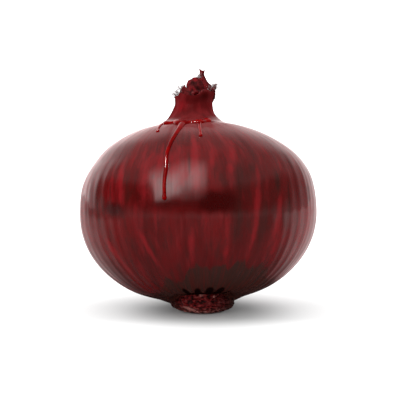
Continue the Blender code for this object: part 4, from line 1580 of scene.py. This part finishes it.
@dataclass
class LiquidRun:
    """The red liquid that lies on the shoulder: a pool with strands that run down from it.

    Its routes are (azimuth in degrees, height in mm, half width in mm), from their upper ends.
    """

    routes: dict[str, tuple[tuple[float, float, float], ...]] = field(
        default_factory=lambda: {
            "pool": (
                (-133, 30.3, 1.10),
                (-124, 29.8, 1.30),
                (-114, 29.6, 1.05),
                (-106, 29.5, 1.60),
                (-98, 28.9, 1.65),
                (-89, 29.1, 1.00),
                (-80, 29.0, 1.45),
                (-70, 29.5, 1.10),
                (-59, 30.1, 1.25),
            ),
            "left_drip": ((-131, 30.0, 0.80), (-123, 28.6, 0.58), (-117, 26.2, 0.50)),
            "long_run": (
                (-97, 29.0, 1.35),
                (-99, 27.0, 0.95),
                (-101, 24.8, 0.76),
                (-105, 18.5, 0.66),
                (-104.5, 13.5, 0.68),
                (-105, 9.0, 0.58),
                (-105, 2.8, 0.56),
            ),
            "short_drip": ((-79, 29.1, 1.0), (-82, 26.8, 0.56), (-84, 23.4, 0.50)),
        }
    )
    sides: int = 16
    pieces: int = 24
    height_share: float = 0.85
    sunk: float = 0.12 * MM
    drop_reach: float = 2.2
    drop_place: float = 0.7
    drop_spread: float = 0.5
    drop_swell: float = 0.3
    tip_length: float = 0.9
    voxel: float = 0.08 * MM
    settling: int = 24

    @staticmethod
    def rounding(distance: Points, tip: float) -> Points:
        """The share of its width that a strand has at some distance from its end."""
        return np.sqrt(np.clip(1.0 - (1.0 - distance / tip).clip(0.0, 1.0) ** 2, 0.0, 1.0))

    def strand_mesh(self, name: str, route: Sequence[Sequence[float]]) -> bpy.types.Mesh:
        """One strand: a rounded bead that hugs the skin and ends in a drop.

        Args:
            name: The strand's name.
            route: Its points.

        Returns:
            The closed mesh, in the part's frame.
        """
        samples = smooth_route(route, self.pieces)
        azimuth = np.radians(samples[:, 0])
        height = samples[:, 1] * MM
        half = samples[:, 2] * MM
        centre = FORM.skin(azimuth, height, np.zeros_like(azimuth))
        above = FORM.skin(azimuth, height, np.zeros_like(azimuth), 1.0 * MM) - centre
        above /= np.linalg.norm(above, axis=1)[:, None]
        ahead = np.gradient(centre, axis=0)
        ahead /= np.linalg.norm(ahead, axis=1)[:, None]
        aside = np.cross(ahead, above)
        length = np.concatenate([[0.0], np.cumsum(np.linalg.norm(np.diff(centre, axis=0), axis=1))])
        to_end = length[-1] - length
        from_drop = to_end / (self.drop_reach * half[-1]) - self.drop_place
        half = half * (1.0 + self.drop_swell * np.exp(-(from_drop**2) / self.drop_spread))
        tip = self.tip_length * half[-1]
        half = half * self.rounding(to_end, tip) * self.rounding(length, tip)
        angle = np.linspace(0.0, FULL_TURN, self.sides, endpoint=False)
        grid = centre[:, None, :] - above[:, None, :] * self.sunk
        grid = grid + aside[:, None, :] * (half[:, None] * np.cos(angle))[..., None]
        rise = np.where(np.sin(angle) > 0.0, self.height_share, 0.5) * np.sin(angle)
        grid = grid + above[:, None, :] * (half[:, None] * rise)[..., None]
        mesh = grid_mesh(name, FORM.to_part(grid), True)
        close_poles(mesh)
        return mesh

    def build(self, finish: bpy.types.Material) -> bpy.types.Object:
        """Makes the liquid, as one smooth body."""
        liquid, *others = (
            new_object(name, self.strand_mesh(name, route)) for name, route in self.routes.items()
        )
        liquid.name = "liquid_film"
        join(liquid, others)
        remesh = liquid.modifiers.new("flow", "REMESH")
        remesh.mode = "VOXEL"
        remesh.voxel_size = self.voxel
        bake_modifiers(liquid)
        settle = liquid.modifiers.new("settle", "SMOOTH")
        settle.factor = 0.5
        settle.iterations = self.settling
        bake_modifiers(liquid)
        dress(liquid, finish)
        return liquid


# The studio


@dataclass(frozen=True)
class Pane:
    """One bright pane of the soft box that the skin mirrors.

    Each of its four edges runs from where its light starts to where it is full, as tangents of the
    angle to the box's middle.
    """

    left: tuple[float, float]
    right: tuple[float, float]
    lower: tuple[float, float]
    upper: tuple[float, float]
    radiance: float

    def level(self, tree: Tree, across: Wire, above: Wire) -> Wire:
        """The light that comes from the pane, seen at one place of the box."""
        inside = tree.step(across, *self.left) * tree.step(across, *self.right)
        return inside * tree.step(above, *self.lower) * tree.step(above, *self.upper) * self.radiance


@dataclass(frozen=True)
class SoftBox:
    """A tilted box of light panes, which stands to the left in front of the onion, above it."""

    turn: float = math.radians(-30.0)
    rise: float = math.radians(40.0)
    roll: float = math.radians(18.0)
    facing: tuple[float, float] = (0.2, 0.4)
    panes: tuple[Pane, ...] = (
        Pane((-0.42, -0.36), (0.14, -0.02), (-0.42, -0.33), (0.68, -0.28), 6.0),
        Pane((-0.02, 0.14), (0.59, 0.38), (-0.56, -0.14), (0.86, 0.05), 3.8),
    )

    def level(self, tree: Tree, way: bpy.types.NodeSocket) -> Wire:
        """How much light comes from the box.

        Args:
            tree: The world's tree.
            way: The direction that is looked in.

        Returns:
            The sum of its panes, and 0 outside them.
        """
        frame_turn = Euler((-self.rise, -self.roll, self.turn), "YXZ").to_matrix()
        right, ahead, above = (frame_turn @ Vector(axis) for axis in ((1, 0, 0), (0, -1, 0), (0, 0, 1)))
        settings = {"operation": "DOT_PRODUCT"}
        ahead, right, above = (
            tree.wire(tree.add("ShaderNodeVectorMath", settings, {0: way, 1: axis}), 1)
            for axis in (ahead, right, above)
        )
        facing = tree.step(ahead, *self.facing)
        ahead = tree.math("MAXIMUM", ahead, self.facing[0])
        light: Number = 0.0
        for pane in self.panes:
            light = pane.level(tree, right / ahead, above / ahead) + light
        return light * facing


@dataclass(frozen=True)
class GlintLamp:
    """A rectangular lamp that faces the onion. It lights one piece only, and only the gloss of that."""

    name: str = "wet_glint"
    piece: str = "liquid_film"
    turn: float = -1.0
    rise: float = 1.1
    roll: float = 0.28
    distance: float = 0.6
    width: float = 0.18
    height: float = 0.2
    radiance: float = 230.0

    def build(self) -> None:
        """Adds the lamp, turned to the right of the front and raised by its angles, in radians."""
        level = math.cos(self.rise)
        away = Vector((math.sin(self.turn) * level, -math.cos(self.turn) * level, math.sin(self.rise)))
        data = bpy.data.lights.new(self.name, "AREA")
        data.shape = "RECTANGLE"
        data.size, data.size_y = self.width, self.height
        data.energy = self.radiance * math.pi * self.width * self.height
        lamp = bpy.data.objects.new(self.name, data)
        lamp.visible_diffuse = False
        bpy.context.scene.collection.objects.link(lamp)
        lamp.location = FORM.centre + self.distance * away
        facing = away.to_track_quat("Z", "Y").to_matrix()
        lamp.rotation_euler = (facing @ Matrix.Rotation(self.roll, 3, "Z")).to_euler()
        lit = bpy.data.collections.new(self.name)
        lit.objects.link(bpy.data.objects[self.piece])
        lamp.light_linking.receiver_collection = lit


@dataclass
class Studio:
    """A plain white floor, soft light and the camera.

    What the skin mirrors differs from what the camera sees: the floor is dark in front and pale at the
    sides, and the world has a dark band in front and is white low down behind. Pairs of angles, in
    radians, run from where a tone starts to where it is full.
    """

    lens: float = 120.0
    sensor: float = 36.0
    clip: tuple[float, float] = (0.01, 20.0)
    distance: float = 453.9 * MM
    elevation: float = math.radians(6.0)
    aim_right: float = 0.58 * MM
    aim_up: float = 4.43 * MM
    foot: tuple[float, float] = (3.0 * MM, -4.0 * MM)
    floor_size: float = 3.0
    floor_reflected: float = 0.6
    floor_white: float = 0.615
    floor_haze: float = 0.19
    back_haze: float = 0.14
    front_haze: float = 0.16
    floor_mirrored: Colour = (0.18, 0.14, 0.14)
    side_mirrored: Colour = (0.62, 0.48, 0.48)
    left_side: float = 0.65
    dome_light: float = 2.0
    dome_slant: float = 0.2
    mirror_level: float = 0.50
    mirror_white: float = 1.40
    mirror_tint: Colour = (1.0, 0.82, 0.82)
    band_front: tuple[float, float] = (2.3, 1.65)
    band_top: tuple[float, float] = (0.58, 0.36)
    band_foot: tuple[float, float] = (0.02, 0.17)
    white_left: tuple[float, float] = (-1.95, -2.30)
    white_right: tuple[float, float] = (2.15, 2.75)
    white_top: tuple[float, float] = (0.95, 0.25)
    white_right_share: float = 0.65

    def camera(self) -> None:
        """Sets up the camera in front of the onion and a little above it."""
        up = Vector((0.0, math.sin(self.elevation), math.cos(self.elevation)))
        back = Vector((0.0, -math.cos(self.elevation), math.sin(self.elevation)))
        target = FORM.centre + Vector((self.aim_right, 0.0, 0.0)) + up * self.aim_up
        data = bpy.data.cameras.new("camera")
        data.lens = self.lens
        data.sensor_width = self.sensor
        data.clip_start, data.clip_end = self.clip
        camera = bpy.data.objects.new("camera", data)
        bpy.context.scene.collection.objects.link(camera)
        camera.location = target + back * self.distance
        camera.rotation_euler = back.to_track_quat("Z", "Y").to_euler()
        bpy.context.scene.camera = camera

    def floor_paint(self) -> bpy.types.Material:
        """The floor's matt white paint, with a faint glow away from the onion's foot."""
        tree = Finish("floor_paint")
        rays = tree.add("ShaderNodeLightPath")
        across, depth, _ = tree.axes(tree.place())
        turn = tree.math("ARCTAN2", across, depth * -1.0)
        foot_x, foot_y = self.foot
        off_foot = tree.math("SQRT", (across - foot_x) ** 2.0 + (depth - foot_y) ** 2.0)
        far = tree.step(off_foot, 0.25, 0.60) * tree.step(turn, -2.40, -2.15)
        side = tree.step(turn, 1.2, 1.6) + self.left_side * tree.step(turn, -1.1, -1.8) * (1.0 - far)
        side = side * tree.step(off_foot, 0.018, 0.060)
        mirrored = tree.blend(side, self.floor_mirrored, self.side_mirrored)
        unseen = tree.blend(tree.wire(rays, "Is Glossy Ray"), (self.floor_reflected,) * 3, mirrored)
        haze = tree.step(off_foot, 0.012, 0.034) * self.floor_haze
        haze = haze + tree.step(depth, 0.006, 0.04) * self.back_haze
        haze = haze + tree.step(depth, -0.012, -0.030) * self.front_haze
        seen = tree.wire(rays, "Is Camera Ray")
        return tree.end(
            {
                "Base Color": tree.blend(seen, unseen, (self.floor_white,) * 3),
                "Roughness": 0.9,
                "Specular IOR Level": 0.0,
                "Emission Color": (1.0, 1.0, 1.0, 1.0),
                "Emission Strength": seen * haze,
            }
        )

    def floor(self) -> None:
        """Lays the floor."""
        half = self.floor_size / 2
        corners = [(-half, -half, 0.0), (half, -half, 0.0), (half, half, 0.0), (-half, half, 0.0)]
        mesh = bpy.data.meshes.new("floor")
        mesh.from_pydata(corners, [], [(0, 1, 2, 3)])
        floor = new_object("floor", mesh)
        mesh.materials.append(self.floor_paint())

    def world(self) -> None:
        """Lights the onion softly from all round, and sets what the skin mirrors."""
        world = bpy.data.worlds.new("studio")
        world.use_nodes = True
        world.cycles.sampling_method = "NONE"
        bpy.context.scene.world = world
        tree = Tree(world.node_tree)
        way = tree.add("ShaderNodeTexCoord").outputs["Generated"]
        across, depth, height = tree.axes(way)
        turn = tree.math("ARCTAN2", across, depth * -1.0)
        rise = tree.math("ARCSINE", height)
        front = tree.step(tree.math("ABSOLUTE", turn), *self.band_front)
        band = tree.step(rise, *self.band_top) * tree.step(rise, *self.band_foot)
        dark = front * band * (1.0 - 0.25 * tree.step(turn, 0.3, 1.0)) * self.mirror_level
        right = tree.step(turn, *self.white_right) * self.white_right_share
        white = (tree.step(turn, *self.white_left) + right) * tree.step(rise, *self.white_top)
        mirrored = self.mirror_level - dark + self.mirror_white * white
        mirrored = mirrored + SoftBox().level(tree, way)
        glossy = tree.wire(tree.add("ShaderNodeLightPath"), "Is Glossy Ray")
        soft = self.dome_light * (1.0 - self.dome_slant * across)
        tree.fill(
            world.node_tree.nodes["Background"],
            {
                "Color": tree.blend(glossy, (1.0, 1.0, 1.0), self.mirror_tint),
                "Strength": soft * (1.0 - glossy) + mirrored * glossy,
            },
        )

    def build(self) -> None:
        """Sets up the whole studio."""
        bpy.context.scene.view_settings.view_transform = "Standard"
        self.camera()
        self.floor()
        self.world()
        GlintLamp().build()


class Onion:
    """The whole onion, piece by piece."""

    def build(self) -> None:
        """Builds every piece and puts it in the frame."""
        mount(SkinnedBulb().build(DrySkin().build()), "dry_skin", "bulb")
        mount(LeafTuft().build(DriedLeaf().build()), "dried_leaf", "leaf_ends")
        mount(TornFibres().build(PaleFibre().build()), "dried_leaf")
        mount(RootPlate().build(RootCork().build()), "root_plate", "root_plate")
        mount(LiquidRun().build(WetLiquid().build()), "red_liquid", "liquid_run")


def main() -> None:
    """Builds the onion and its studio, and logs how many faces each piece has."""
    logging.basicConfig(level=logging.INFO, format="%(message)s")
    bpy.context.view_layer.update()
    Onion().build()
    Studio().build()


if __name__ == "__main__":
    main()
